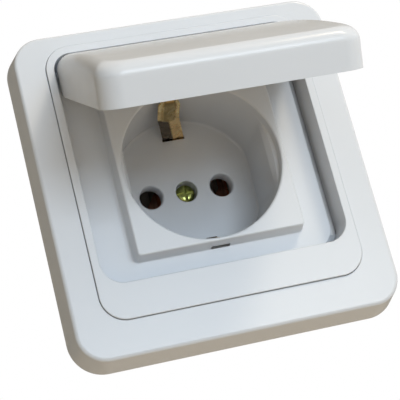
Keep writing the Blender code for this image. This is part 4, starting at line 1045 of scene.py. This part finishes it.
def ear_outline(radius, root):
    """Ear's outline in Y and Z: a half circle over the hinge axis and a foot in the plate."""
    turn = np.radians(np.linspace(0.0, 180.0, 33))
    top = np.column_stack((HINGE[1] - radius * np.sin(turn), HINGE[2] + radius * np.cos(turn)))
    foot_left = np.column_stack((np.linspace(HINGE[1], root, 6)[1:], np.full(5, HINGE[2] - radius)))
    base = np.column_stack((np.full(5, root), np.linspace(HINGE[2] - radius, HINGE[2] + radius, 7)[1:-1]))
    foot_right = np.column_stack((np.linspace(root, HINGE[1], 6)[:-1], np.full(5, HINGE[2] + radius)))
    return np.vstack((top, foot_left, base, foot_right))


def ear(side, radius, inner, outer, root):
    """Ear that carries a hinge pin, its outline drawn in a little at both faces."""
    outline = ear_outline(radius, root)
    middle = outline.mean(axis=0)
    rows = []
    slight = EAR_EDGE * 0.3
    for x, inset in ((inner, EAR_EDGE), (inner + slight, slight), (inner + EAR_EDGE, 0.0),
                     (outer - EAR_EDGE, 0.0), (outer - slight, slight), (outer, EAR_EDGE)):
        ring = middle + (outline - middle) * (1.0 - inset / radius)
        rows.append(np.column_stack((np.full(len(ring), side * x), ring[:, 0], ring[:, 1])))
    return skin("ear", np.array(rows), (side * inner, *middle), (side * outer, *middle))


def mouth(radius, floor, steps):
    """Profile of a hole's softened mouth in the well's floor."""
    return [(radius + growth, floor + depth) for growth, depth in steps]


class SOCKET_OT_cover(bpy.types.Operator):
    """Build the socket cover: plate, raised block, plug well with guide ribs, and hinge ears"""

    bl_idname = "socket.cover"
    bl_label = "Socket cover"

    def execute(self, context):
        size = context.scene.socket_sizes
        grid, start, end = cover_rows(size)
        piece = skin("socket_cover_moulding", grid, start, end)
        floor = size.well_floor
        sleeve_end = floor + CUP_FLOOR + size.sleeve_length
        through = sleeve_end + CUT_PAST
        sleeve = size.pin_hole + SLEEVE_WALL
        pins = [(side * size.pin_spacing / 2, 0.0) for side in SIDES]
        tube = [(sleeve, floor + CUP_FLOOR / 2), (sleeve, sleeve_end)]
        join(piece, merged([turned("sleeve", tube, pin) for pin in pins]))
        hole = mouth(size.pin_hole, floor, PIN_MOUTH) + [(size.pin_hole, through)]
        tools = [turned("pin_hole", hole, pin) for pin in pins]
        head_seat = COVER_HIGH[1] - HEAD_SEAT
        tools.append(turned("screw_recess", mouth(size.screw_recess, floor, SCREW_MOUTH) + [
            (size.screw_recess, head_seat), (SHANK_HOLE, head_seat),
            (SHANK_HOLE, COVER_HIGH[1] + CUT_PAST),
        ]))
        slot_half = size.strap_width / 2 + SEAT_GAP / 2
        slot_depth = size.strap_thickness / 2 + SEAT_GAP / 2
        for root in (STRAP_ROOT, -STRAP_ROOT - size.strap_drop):
            tools.append(block("strap_slot", (-slot_half, floor - CUT_PAST, root - slot_depth),
                               (slot_half, through, root + slot_depth)))
        tools += claw_screw_reliefs(size.plate_floor - PLATE_WALL)
        cut(piece, *tools)
        foot = np.array((0.0, -size.plate_floor, size.block_bottom))
        cut(piece, block("latch_slot", foot + LATCH_LOW, foot + LATCH_HIGH))
        radius = HINGE[1] - COVER_LOW[1]
        outer = LID_HIGH[0] - size.lid_wall - EAR_INSET
        inner = outer - EAR_WIDTH
        root = -size.plate_floor + EAR_ROOT
        join(piece, merged([ear(side, radius, inner, outer, root) for side in SIDES]))
        bore = [(HINGE_BORE, inner - CUT_ASIDE), (HINGE_BORE, outer + CUT_ASIDE)]
        cut(piece, *[turn_to_x(turned("bore", bore), side) for side in SIDES])
        plastic = white_plastic(context.scene, "cover plastic")
        dressed(piece, plastic, "socket", "white_plastic", "socket_cover")
        return {"FINISHED"}


def turn_to_x(tool, side):
    """Lay a solid that was turned along Y on the hinge axis, towards one side."""
    turn_local(tool, side)
    tool.data.transform(Matrix.Translation((0.0, HINGE[1], HINGE[2])))
    return tool


# Lid

# Points round a loop: the straight side, the corner at the hinge and the corner at the free end
LID_RUN_STEPS = 30
LID_HINGE_STEPS = 9
LID_END_STEPS = 17
LID_LEVELS = 37

# Windows for the cover's ears
WINDOW_GAP = 0.0005
WINDOW_LOW = -0.0020
WINDOW_HIGH = 0.0071

# Bosses that hold the hinge pins
LID_BOSS_LENGTH = 0.0013
LID_BOSS_RADIUS = 0.0026
LID_BOSS_EDGE = 0.0002
LID_BORE_DEPTH = 0.0020


def lid_loop(size, rise, width_inset, end_inset, hinge_reach, corner, hinge_corner):
    """Loop round the lid at a rise over the hinge axis, in the shut lid's place about its hinge.

    Two arcs and a straight run make the right half, mirrored for the left. The height is the rise
    plus a crown that falls away with the square of the distance from the lid's middle.
    """
    length = lid_length(size)
    far = -(length - size.lid_hinge_radius)
    half = LID_HIGH[0] - width_inset
    low = far + end_inset
    run = np.linspace(hinge_reach - hinge_corner, low + corner, LID_RUN_STEPS)[1:-1]
    high_arc = np.radians(np.linspace(90.0, 0.0, LID_HINGE_STEPS))
    low_arc = np.radians(np.linspace(0.0, -90.0, LID_END_STEPS))
    x = np.concatenate((half - hinge_corner + hinge_corner * np.cos(high_arc), np.full(len(run), half),
                        half - corner + corner * np.cos(low_arc)))
    z = np.concatenate((hinge_reach - hinge_corner + hinge_corner * np.sin(high_arc), run,
                        low + corner + corner * np.sin(low_arc)))
    middle = (size.lid_hinge_radius + far) / 2
    share = (rise + size.lid_hinge_radius) / (2.0 * size.lid_hinge_radius)
    crown = size.lid_crown * share * (1.0 - ((z - middle) / (length / 2)) ** 2)
    right = np.column_stack((x, -(rise + crown), z))
    return np.vstack((right, right[::-1] * np.array((-1.0, 1.0, 1.0))))


def lid_length(size):
    """The lid's length, from the box of the standing lid: its far end and its rounded back."""
    lean = math.radians(LID_REST_ANGLE)
    rim_drop = size.lid_hinge_radius * math.cos(lean)
    far = (HINGE[1] - LID_LOW[1] - rim_drop) / math.sin(lean)
    return far + size.lid_hinge_radius


def lid_levels(size, wall):
    """Loops of the lid's outer face, or of its inner face with a wall given, from rim to top."""
    levels = []
    top = size.lid_hinge_radius - wall
    end_edge = max(size.lid_end_edge - wall, size.lid_end_edge / 4)
    side_edge = max(size.lid_side_edge - wall, size.lid_side_edge / 4)
    corner = size.lid_end_corner - wall
    hinge_corner = max(size.lid_hinge_corner - wall, size.lid_hinge_corner * 0.3)
    turns = np.linspace(-90.0 if wall == 0.0 else -45.0, 90.0, LID_LEVELS)
    for turn in np.radians(turns):
        rise = top * math.sin(turn)
        end_over = max(rise - (top - end_edge), 0.0)
        side_over = max(rise - (top - side_edge), 0.0)
        end_round = end_edge - math.sqrt(end_edge ** 2 - end_over ** 2)
        side_round = side_edge - math.sqrt(side_edge ** 2 - side_over ** 2)
        levels.append(lid_loop(size, rise, wall + side_round, wall + end_round, top * math.cos(turn),
                               corner, hinge_corner))
    for hold in (0.0001, 0.0006):
        levels.append(lid_loop(size, top, wall + side_edge + hold, wall + end_edge + hold, -hold,
                               corner, hinge_corner))
    if wall > 0.0:
        levels.insert(0, lid_loop(size, -size.lid_hinge_radius, wall, wall, -0.0010, corner,
                                  size.lid_hinge_corner * 0.3))
    return levels


def lid_shell(size):
    """The lid's wall as one closed skin, each top closed by strips across the lid."""
    rows = np.array(lid_levels(size, 0.0)[::-1] + lid_levels(size, size.lid_wall))
    count, width = rows.shape[:2]
    index = np.arange(count * width).reshape(count, width)
    following = np.roll(index, -1, axis=1)
    quads = np.stack((index[:-1], following[:-1], following[1:], index[1:]), axis=-1).reshape(-1, 4)
    half = width // 2
    strips = []
    for row, forwards in ((index[0], False), (index[-1], True)):
        near = np.stack((row[:half - 1], row[1:half]), axis=-1)
        far = np.stack((row[::-1][1:half], row[::-1][:half - 1]), axis=-1)
        strip = np.hstack((near, far))
        strips.append(strip if forwards else strip[:, ::-1])
    return solid("lid_moulding", rows.reshape(-1, 3), quads.tolist() + np.vstack(strips).tolist())


class SOCKET_OT_lid(bpy.types.Operator):
    """Build the lid: a crowned shell, rounded round its hinge, with windows and pin bosses"""

    bl_idname = "socket.lid"
    bl_label = "Lid"

    def execute(self, context):
        size = context.scene.socket_sizes
        piece = lid_shell(size)
        inner = size.lid_hinge_radius - size.lid_wall
        outer = LID_HIGH[0] - size.lid_wall
        ear_outer = outer - EAR_INSET + WINDOW_GAP
        ear_inner = outer - EAR_INSET - EAR_WIDTH - WINDOW_GAP
        windows = []
        for side in SIDES:
            low, high = sorted((side * ear_outer, side * ear_inner))
            windows.append(block("window", (low, -inner + SEAT_GAP / 2, WINDOW_LOW),
                                 (high, WINDOW_HIGH, WINDOW_HIGH)))
        cut(piece, *windows)
        start = outer - LID_BOSS_LENGTH
        boss = [(LID_BOSS_RADIUS - LID_BOSS_EDGE, start), (LID_BOSS_RADIUS, start + LID_BOSS_EDGE),
                (LID_BOSS_RADIUS, LID_HIGH[0] - size.lid_wall / 2)]
        join(piece, merged([turn_local(turned("boss", boss), side) for side in SIDES]))
        bore = [(HINGE_BORE, start - CUT_ASIDE), (HINGE_BORE, start + LID_BORE_DEPTH)]
        cut(piece, *[turn_local(turned("bore", bore), side) for side in SIDES])
        lean = Matrix.Rotation(-math.radians(LID_REST_ANGLE), 4, "X")
        piece.data.transform(Matrix.Translation(Vector(HINGE)) @ lean)
        plastic = white_plastic(context.scene, "lid plastic")
        dressed(piece, plastic, "cover_lid", "white_plastic", "lid")
        return {"FINISHED"}


def turn_local(tool, side):
    """Lay a solid that was turned along Y on the X axis, towards one side."""
    tool.data.transform(Matrix.Rotation(math.radians(-90.0 * side), 4, "Z"))
    return tool


# Metal pieces

# Strap: places in Y and Z, bends, and how much deeper the lower clip's crease lies
STRAP_TIP = (-0.0060, 0.0181)
STRAP_CREASE = (0.0020, 0.0159)
STRAP_ROOT = 0.0148
EYE_RADIUS = 0.0062
CREASE_BEND = 0.0007
ROOT_BEND = 0.0008
LOW_CREASE = 0.0008
STRAP_ROWS = 260
STRAP_COLUMNS = 41

# The clips' ends: their width as a share, and the run over which it grows to the full width
TIP_WIDTH = 0.6
TIP_RUN = 0.0030

# Ridge: its foot as a share of the half width, and the runs over which it turns and fades
RIDGE_FOOT = 0.9
ROOF_RISE = 1.5
BAND_FALL = 0.0005
CREASE_BLEND = 0.0012
TIP_FADE = 0.0015
BACK_FADE = (0.0130, 0.0148)


def strap_line(size):
    """The earth strap's centre line in Y and Z: two bent clips on a flat back."""
    back = STRAP_BACK - size.strap_thickness / 2
    corners = [(*STRAP_TIP, 0.0), (*STRAP_CREASE, CREASE_BEND), (back, STRAP_ROOT, ROOT_BEND)]
    drops = (size.strap_drop, size.strap_drop + LOW_CREASE, size.strap_drop)
    corners += [(y, -z - drop, radius) for drop, (y, z, radius) in zip(drops, reversed(corners))]
    line = filleted(corners, steps=8)
    gaps = np.linalg.norm(np.diff(line, axis=0), axis=1)
    along = np.concatenate(([0.0], np.cumsum(gaps)))
    spots = np.linspace(0.0, along[-1], STRAP_ROWS)
    return np.column_stack((np.interp(spots, along, line[:, 0]), np.interp(spots, along, line[:, 1])))


def strap_shift(size, y):
    """How far a clip stands to the side at a depth: most at its tip, nothing at the well's floor.

    The lower clip takes half of it.
    """
    stations = (STRAP_TIP[0], STRAP_CREASE[0], size.well_floor)
    return np.interp(y, stations, (size.strap_lean + size.strap_tip_lean, size.strap_lean, 0.0))


def strap_section(size):
    """The strap's section: a flat strip with rounded edges, as (across, thickness) pairs."""
    width = size.strap_width / 2
    thick = size.strap_thickness / 2
    soft = thick * 0.6
    corners = [(width, thick, soft), (-width, thick, soft), (-width, -thick, soft), (width, -thick, soft)]
    points = filleted(corners, closed=True, steps=4)
    straight = width - soft - 3 * HOLD
    spots = np.linspace(-straight, straight, STRAP_COLUMNS)[:, None]
    flat = np.hstack((spots, np.full_like(spots, thick)))
    top = points[points[:, 1] >= 0.0]
    right = top[top[:, 0] > 0.0]
    left = top[top[:, 0] < 0.0]
    upper = np.vstack((right, flat[::-1], left))
    return np.vstack((upper, upper * np.array((-1.0, -1.0))))


def smooth_step(value, start, end):
    """0 before the start, 1 after the end, and an S-curve between them."""
    share = np.clip((value - start) / (end - start), 0.0, 1.0)
    return share * share * (3.0 - 2.0 * share)


def strap_relief(size, line, across):
    """Height of the pressed ridge: a flat band near the tip, a roof with one crest past the crease."""
    half = size.strap_width / 2 * RIDGE_FOOT
    distance = np.abs(across)[None, :]
    roof = np.maximum(0.0, 1.0 - distance / half)
    band = 1.0 - smooth_step(distance, size.strap_band / 2, size.strap_band / 2 + BAND_FALL)
    y = line[:, 0][:, None]
    past_crease = smooth_step(y, STRAP_CREASE[0] - CREASE_BLEND, STRAP_CREASE[0] + CREASE_BLEND)
    fade = smooth_step(y, STRAP_TIP[0], STRAP_TIP[0] + TIP_FADE) * (1.0 - smooth_step(y, *BACK_FADE))
    return size.strap_ridge * fade * (band * (1.0 - past_crease) + ROOF_RISE * roof * past_crease)


class SOCKET_OT_earth_strap(bpy.types.Operator):
    """Build the earth strap: one folded brass strip with a pressed ridge along both clips"""

    bl_idname = "socket.earth_strap"
    bl_label = "Earth strap"

    def execute(self, context):
        size = context.scene.socket_sizes
        line = strap_line(size)
        tangent = np.gradient(line, axis=0)
        tangent /= np.linalg.norm(tangent, axis=1)[:, None]
        inward = np.column_stack((-tangent[:, 1], tangent[:, 0])) * -1.0
        section = strap_section(size)
        height = section[:, 1][None, :] + strap_relief(size, line, section[:, 0])
        y = line[:, 0][:, None] + height * inward[:, 0][:, None]
        z = line[:, 1][:, None] + height * inward[:, 1][:, None]
        full_width = smooth_step(line[:, 0], STRAP_TIP[0], STRAP_TIP[0] + TIP_RUN)
        narrow = TIP_WIDTH + (1.0 - TIP_WIDTH) * full_width
        shift = np.where(z > 0.0, 1.0, 0.5) * strap_shift(size, y)
        across = section[:, 0][None, :] * narrow[:, None] + shift
        rows = np.stack((across, y, z), axis=-1)
        piece = skin("earth_strap_strip", rows, rows[0].mean(axis=0), rows[-1].mean(axis=0))
        front = STRAP_BACK - size.strap_thickness
        join(piece, turned("eye", [(EYE_RADIUS, front - HOLD), (EYE_RADIUS, STRAP_BACK + HOLD)]))
        hole = size.screw_recess + BOSS_WALL + SEAT_GAP
        cut(piece, turned("hole", [(hole, front - CUT_PAST), (hole, STRAP_BACK + CUT_PAST)]))
        material = strap_brass(size, context.scene.socket_finishes.brass)
        dressed(piece, material, "socket", "brass", "earth_strap")
        return {"FINISHED"}


# Centre screw: head, shank, thread and cross slot
SCREW_HEAD = 0.0016
SCREW_DOME = 0.0009
DOME_FOOT = 0.00105
SCREW_EDGE = 0.0001
SCREW_SHANK = 0.0015
SCREW_TAPER = 0.0008
THREAD_START = 0.0003
THREAD_STOP = 0.0012
THREAD_PITCH = 0.0007
THREAD_DEPTH = 0.0002
CROSS_HALF = 0.0004
CROSS_DEPTH = 0.0009
YELLOW_TINT = (0.25, 0.31, 0.09)


class SOCKET_OT_centre_screw(bpy.types.Operator):
    """Build the centre screw: a domed head with a cross slot, and a threaded shank"""

    bl_idname = "socket.centre_screw"
    bl_label = "Centre screw"

    def execute(self, context):
        radius = SCREW_HIGH[0]
        top = SCREW_LOW[1]
        seat = top + SCREW_HEAD
        core = SCREW_SHANK - THREAD_DEPTH
        dome = [(radius * math.sin(turn), top + SCREW_DOME * (1.0 - math.cos(turn)) ** 1.2)
                for turn in np.radians(np.linspace(8.0, 84.0, 12))]
        head = [(radius, top + DOME_FOOT), (radius, seat - SCREW_EDGE),
                (radius - SCREW_EDGE, seat), (SCREW_SHANK, seat)]
        turns = int((SCREW_HIGH[1] - seat - THREAD_STOP) / THREAD_PITCH)
        thread = []
        for index in range(turns):
            start = seat + THREAD_START + index * THREAD_PITCH
            thread += [(core, start), (SCREW_SHANK, start + THREAD_PITCH * 0.4),
                       (SCREW_SHANK, start + THREAD_PITCH * 0.55)]
        tip = [(core, SCREW_HIGH[1] - SCREW_TAPER), (SCREW_SHANK * 0.5, SCREW_HIGH[1])]
        piece = turned("centre_screw_plated", dome + head + thread + tip)
        front = top - CUT_PAST
        deep = top + CROSS_DEPTH
        wide = radius * 1.2
        cut(piece, block("slot", (-wide, front, -CROSS_HALF), (wide, deep, CROSS_HALF)))
        cut(piece, block("slot", (-CROSS_HALF, front, -wide), (CROSS_HALF, deep, wide)))
        finishes = context.scene.socket_finishes
        material = plated_metal("yellow zinc", finishes.yellow_zinc, YELLOW_TINT, 0.12)
        dressed(piece, material, "socket", "brass", "centre_screw")
        return {"FINISHED"}


# Base: wire holes and their mouths, screw channels, room for the strap's lower arm, and posts
WIRE_HOLE = 0.0019
WIRE_INSET = 0.0032
WIRE_MOUTH = ((0.0, -0.0004), (0.0006, 0.0002))
CHANNEL_END = 0.030
ARM_ROOM = 0.0010
BUSH_STEP = 0.0001
POST_RADIUS = 0.0013
POST_TAPER = 0.0004
POST_ROOT = 0.0020


def upright(tool):
    """Lay a solid that was turned along Y on the Z axis; what was at -Z comes to +Y."""
    tool.data.transform(Matrix.Rotation(math.radians(90.0), 4, "X"))
    return tool


def clamp_room(x, low, high, rise, front):
    """Cutters for a wire clamp: its chamber, its screw's channel up or down, and its wire hole."""
    middle = (low[1] + high[1]) / 2
    near, far = (high[2], CHANNEL_END) if rise > 0.0 else (low[2], -CHANNEL_END)
    head = (HEAD_HIGH[0] - HEAD_LOW[0]) / 2 + SEAT_GAP
    wire_z = low[2] + WIRE_INSET if rise > 0.0 else high[2] - WIRE_INSET
    return [
        block("chamber", (low[0] - SEAT_GAP, front, low[2] - SEAT_GAP), high + SEAT_GAP),
        upright(turned("channel", [(head, near), (head, far)], (x, -middle), SMALL_ROUND_SIDES)),
        turned("wire_hole", [(WIRE_HOLE, middle)] + mouth(WIRE_HOLE, BASE_HIGH[1], WIRE_MOUTH),
               (x, wire_z), SMALL_ROUND_SIDES),
    ]


def base_cutters(size):
    """Cutters for the well's seat, the strap's channel, the screw and the live parts, front to back."""
    floor = size.well_floor + CUP_FLOOR + SEAT_GAP
    front = floor - CUT_PAST
    seat = size.well_radius + WELL_WALL + SEAT_GAP
    boss = size.screw_recess + BOSS_WALL + SEAT_GAP
    bush = BUSH_HIGH[0] + SEAT_GAP
    behind = STRAP_BACK + SEAT_GAP
    low_arm = STRAP_ROOT + size.strap_drop + ARM_ROOM
    tools = [
        turned("seat", [(seat, -CUT_PAST), (seat, floor)]),
        block("channel", (-size.strap_width / 2 - SEAT_GAP, front, -low_arm),
              (size.strap_width / 2 + SEAT_GAP, behind, STRAP_ROOT + ARM_ROOM)),
        turned("eye", [(EYE_RADIUS + SEAT_GAP, front), (EYE_RADIUS + SEAT_GAP, behind)]),
        turned("boss", [(boss, front), (boss, BUSH_LOW[1]), (bush, BUSH_LOW[1] + BUSH_STEP),
                        (bush, BUSH_HIGH[1] + SEAT_GAP)]),
        turned("tip", [(SHANK_HOLE, BUSH_LOW[1]), (SHANK_HOLE, SCREW_HIGH[1] + SEAT_GAP)]),
    ]
    sleeve = size.pin_hole + SLEEVE_WALL + SEAT_GAP
    flip = np.array((-1.0, 1.0, 1.0))
    for side in SIDES:
        near, far = sorted((side * CONTACT_LOW[0], side * CONTACT_HIGH[0]))
        room = np.array((far, CONTACT_HIGH[1], CONTACT_HIGH[2])) + SEAT_GAP
        tools.append(block("contact_room", (near - SEAT_GAP, front, CONTACT_LOW[2] - SEAT_GAP), room))
        tools.append(turned("sleeve_room", [(sleeve, front), (sleeve, floor + size.sleeve_length)],
                            (side * size.pin_spacing / 2, 0.0)))
        corners = [corner if side > 0.0 else corner * flip for corner in (TERMINAL_LOW, TERMINAL_HIGH)]
        low = np.minimum(*corners)
        high = np.maximum(*corners)
        tools += clamp_room((low[0] + high[0]) / 2, low, high, 1.0, front)
    return tools + clamp_room(0.0, EARTH_LOW, EARTH_HIGH, -1.0, front)


class SOCKET_OT_base(bpy.types.Operator):
    """Build the base: a rounded housing with a seat for the well, chambers and four posts"""

    bl_idname = "socket.base"
    bl_label = "Base"

    def execute(self, context):
        size = context.scene.socket_sizes
        back = BASE_HIGH[1]
        corner = size.base_corner
        outline = rounded_outline(BASE_HIGH[0], BASE_LOW[2], BASE_HIGH[2], corner, corner)
        profile = filleted([(-size.base_edge * 2, -SEAT_GAP, 0.0), (0.0, -SEAT_GAP, 0.0003),
                            (0.0, -back, size.base_edge), (-size.base_edge * 2, -back, 0.0)])
        rows = carried(outline, profile)
        piece = skin("socket_base_moulding", rows, (0.0, SEAT_GAP, 0.0), (0.0, back, 0.0))
        for tool in base_cutters(size):
            cut(piece, tool)
        circle = size.post_circle * math.sqrt(0.5)
        post = [(POST_RADIUS - POST_TAPER, BASE_LOW[1]), (POST_RADIUS, BASE_LOW[1] + POST_TAPER),
                (POST_RADIUS, POST_ROOT)]
        places = [(across * circle, up * circle) for across in SIDES for up in SIDES]
        join(piece, merged([turned("post", post, place, SMALL_ROUND_SIDES) for place in places]))
        grey = matt_plastic("base plastic", context.scene.socket_finishes.base)
        dressed(piece, grey, "socket", "base_plastic", "socket_base")
        return {"FINISHED"}


class SOCKET_OT_works(bpy.types.Operator):
    """Give the pieces behind the cover their finishes: ring, contacts, terminals, screws and claws"""

    bl_idname = "socket.works"
    bl_label = "Works behind the cover"

    def execute(self, context):
        finishes = context.scene.socket_finishes
        steel = plated_metal("zinc-plated steel", finishes.steel, shade(finishes.steel, 0.82), 0.26)
        brass = sheet_metal("turned brass", finishes.brass, shade(finishes.brass, 0.7), 0.3,
                            (1.0, 1.0, 1.0))
        copper = sheet_metal("contact copper", finishes.copper, shade(finishes.copper, 0.6), 0.28,
                             (0.2, 0.2, 1.0))
        groups = (
            (steel, ("support_ring", "hinge_pin_left", "hinge_pin_right", "claw_left", "claw_right",
                     "claw_screw_left", "claw_screw_right", "terminal_screw_left", "terminal_screw_right",
                     "earth_terminal_screw")),
            (brass, ("centre_bush", "terminal_left", "terminal_right", "earth_terminal")),
            (copper, ("contact_left", "contact_right")),
        )
        for material, names in groups:
            for name in names:
                node = frame["nodes"][name]
                node.data.materials.clear()
                node.data.materials.append(material)
        return {"FINISHED"}


# Stage

DAYLIGHT_PLACE = (0.25, -1.10, -0.02)
DAYLIGHT_WIDTH = 0.50
DAYLIGHT_COLOUR = (0.78, 0.89, 1.0)
SUN_PLACE = (0.40, -0.45, 0.60)
SUN_WIDTH = 0.16
SUN_COLOUR = (1.0, 0.84, 0.62)
SKY_COOL = (0.66, 0.84, 1.0)
SKY_WARM = (1.0, 0.80, 0.60)
SKY_TURN = (0.25, 0.85)
CARD_CORNER = (-0.50, 0.60)
CARD_REACH = 0.60
CARD_HEIGHT = 1.0
CARD_DARK = (0.34, 0.31, 0.26)
CARD_PALE = (0.38, 0.35, 0.30)
FLOOR_HALF = 0.9
FLOOR_WARM = (0.76, 0.72, 0.65)


def area_lamp(name, place, width, power, colour):
    """Soft square lamp that looks at the origin."""
    lamp = bpy.data.lights.new(name, "AREA")
    lamp.shape = "SQUARE"
    lamp.size = width
    lamp.energy = power
    lamp.color = colour
    item = bpy.data.objects.new(name, lamp)
    item.location = place
    item.rotation_euler = (-Vector(place)).to_track_quat("-Z", "Y").to_euler()
    bpy.context.scene.collection.objects.link(item)
    return item


def stage_world(strength):
    """World that lights softly, cool in front and warm above, and shows white where it is seen.

    The colour turns from cool to warm as a direction's height rises through SKY_TURN.
    """
    world = bpy.data.worlds.new("studio")
    world.use_nodes = True
    bpy.context.scene.world = world
    finish = Finish("studio", world.node_tree)
    rays = [finish.node("ShaderNodeLightPath", output=name)
            for name in ("Is Camera Ray", "Is Glossy Ray", "Is Transmission Ray")]
    seen = rays[0].at_least(rays[1]).at_least(rays[2])
    ray = finish.node("ShaderNodeTexCoord", output="Generated")
    height = finish.node("ShaderNodeSeparateXYZ", None, {0: ray}, 2)
    tone = finish.mix(finish.slope(height, *SKY_TURN), SKY_COOL, SKY_WARM)
    soft = finish.node("ShaderNodeBackground", None, {"Color": tone, "Strength": strength})
    white = finish.node("ShaderNodeBackground", None, {"Color": (1.0, 1.0, 1.0, 1.0), "Strength": 1.0})
    blend = finish.node("ShaderNodeMixShader", None, {0: seen, 1: soft, 2: white})
    finish.node("ShaderNodeOutputWorld", None, {"Surface": blend})


def stage_card(name, start, end, low, high):
    """Warm upright card, as a room's wall, that light meets but the camera doesn't see."""
    mesh = bpy.data.meshes.new(name)
    mesh.from_pydata([(*start, low), (*end, low), (*end, high), (*start, high)], [], [(0, 1, 2, 3)])
    card = bpy.data.objects.new(name, mesh)
    bpy.context.scene.collection.objects.link(card)
    card.visible_camera = False
    finish = Finish(name)
    tone = finish.mix(finish.noise(5.0, 2.0), CARD_DARK, CARD_PALE)
    mesh.materials.append(finish.close({"Base Color": tone, "Roughness": 0.9}))


def stage_floor(height):
    """Plain floor with a faint mottle: pale to the camera, warm to the light that it sends back."""
    corners = ((-1.0, -1.0), (1.0, -1.0), (1.0, 1.0), (-1.0, 1.0))
    points = [(x * FLOOR_HALF, y * FLOOR_HALF, height) for x, y in corners]
    mesh = bpy.data.meshes.new("floor")
    mesh.from_pydata(points, [], [(0, 1, 2, 3)])
    floor = bpy.data.objects.new("floor", mesh)
    bpy.context.scene.collection.objects.link(floor)
    finish = Finish("floor paper")
    pale = finish.mix(finish.noise(6.0, 2.0), (0.86, 0.86, 0.86), (0.9, 0.9, 0.9))
    camera_ray = finish.node("ShaderNodeLightPath", output="Is Camera Ray")
    tone = finish.mix(camera_ray, FLOOR_WARM, pale)
    mesh.materials.append(finish.close({"Base Color": tone, "Roughness": 0.8}))


class SOCKET_OT_stage(bpy.types.Operator):
    """Set up the camera, the lamps, the world and the floor"""

    bl_idname = "socket.stage"
    bl_label = "Stage"

    def execute(self, context):
        stage = context.scene.socket_stage
        context.scene.view_settings.view_transform = "Standard"
        place = Vector(stage.camera_place)
        sight = Vector(stage.camera_target) - place
        data = bpy.data.cameras.new("camera")
        data.lens = stage.camera_lens
        data.sensor_width = 36.0
        data.shift_y = stage.camera_rise
        camera = bpy.data.objects.new("camera", data)
        camera.location = place
        turn = sight.to_track_quat("-Z", "Y") @ Quaternion((0.0, 0.0, 1.0), stage.camera_roll)
        camera.rotation_euler = turn.to_euler()
        context.scene.collection.objects.link(camera)
        context.scene.camera = camera
        area_lamp("daylight", DAYLIGHT_PLACE, DAYLIGHT_WIDTH, stage.daylight, DAYLIGHT_COLOUR)
        area_lamp("sun", SUN_PLACE, SUN_WIDTH, stage.sun, SUN_COLOUR)
        stage_world(stage.sky)
        low = stage.floor_height
        high = low + CARD_HEIGHT
        stage_card("left card", (CARD_CORNER[0], -CARD_REACH), CARD_CORNER, low, high)
        stage_card("back card", CARD_CORNER, (CARD_REACH, CARD_CORNER[1]), low, high)
        stage_floor(low)
        return {"FINISHED"}


PIECES = (SOCKET_OT_outer_frame, SOCKET_OT_insert_frame, SOCKET_OT_cover, SOCKET_OT_lid,
          SOCKET_OT_earth_strap, SOCKET_OT_centre_screw, SOCKET_OT_base, SOCKET_OT_works, SOCKET_OT_stage)


class SOCKET_PT_panel(bpy.types.Panel):
    """Lists the socket's sizes, finishes and pieces"""

    bl_idname = "SOCKET_PT_panel"
    bl_label = "Wall socket"
    bl_space_type = "VIEW_3D"
    bl_region_type = "UI"
    bl_category = "Socket"

    def draw(self, context):
        for operator in PIECES:
            self.layout.operator(operator.bl_idname)
        scene = context.scene
        for group in (scene.socket_sizes, scene.socket_finishes, scene.socket_stage):
            box = self.layout.box()
            for name in group.__annotations__:
                box.prop(group, name)


CLASSES = (SocketSizes, SocketFinishes, SocketStage, *PIECES, SOCKET_PT_panel)


def register():
    for item in CLASSES:
        bpy.utils.register_class(item)
    bpy.types.Scene.socket_sizes = PointerProperty(type=SocketSizes)
    bpy.types.Scene.socket_finishes = PointerProperty(type=SocketFinishes)
    bpy.types.Scene.socket_stage = PointerProperty(type=SocketStage)


def unregister():
    del bpy.types.Scene.socket_sizes
    del bpy.types.Scene.socket_finishes
    del bpy.types.Scene.socket_stage
    for item in reversed(CLASSES):
        bpy.utils.unregister_class(item)


def main():
    """Build every piece and set up the stage."""
    register()
    bpy.ops.socket.outer_frame()
    bpy.ops.socket.insert_frame()
    bpy.ops.socket.cover()
    bpy.ops.socket.lid()
    bpy.ops.socket.earth_strap()
    bpy.ops.socket.centre_screw()
    bpy.ops.socket.base()
    bpy.ops.socket.works()
    bpy.ops.socket.stage()


if __name__ == "__main__":
    main()
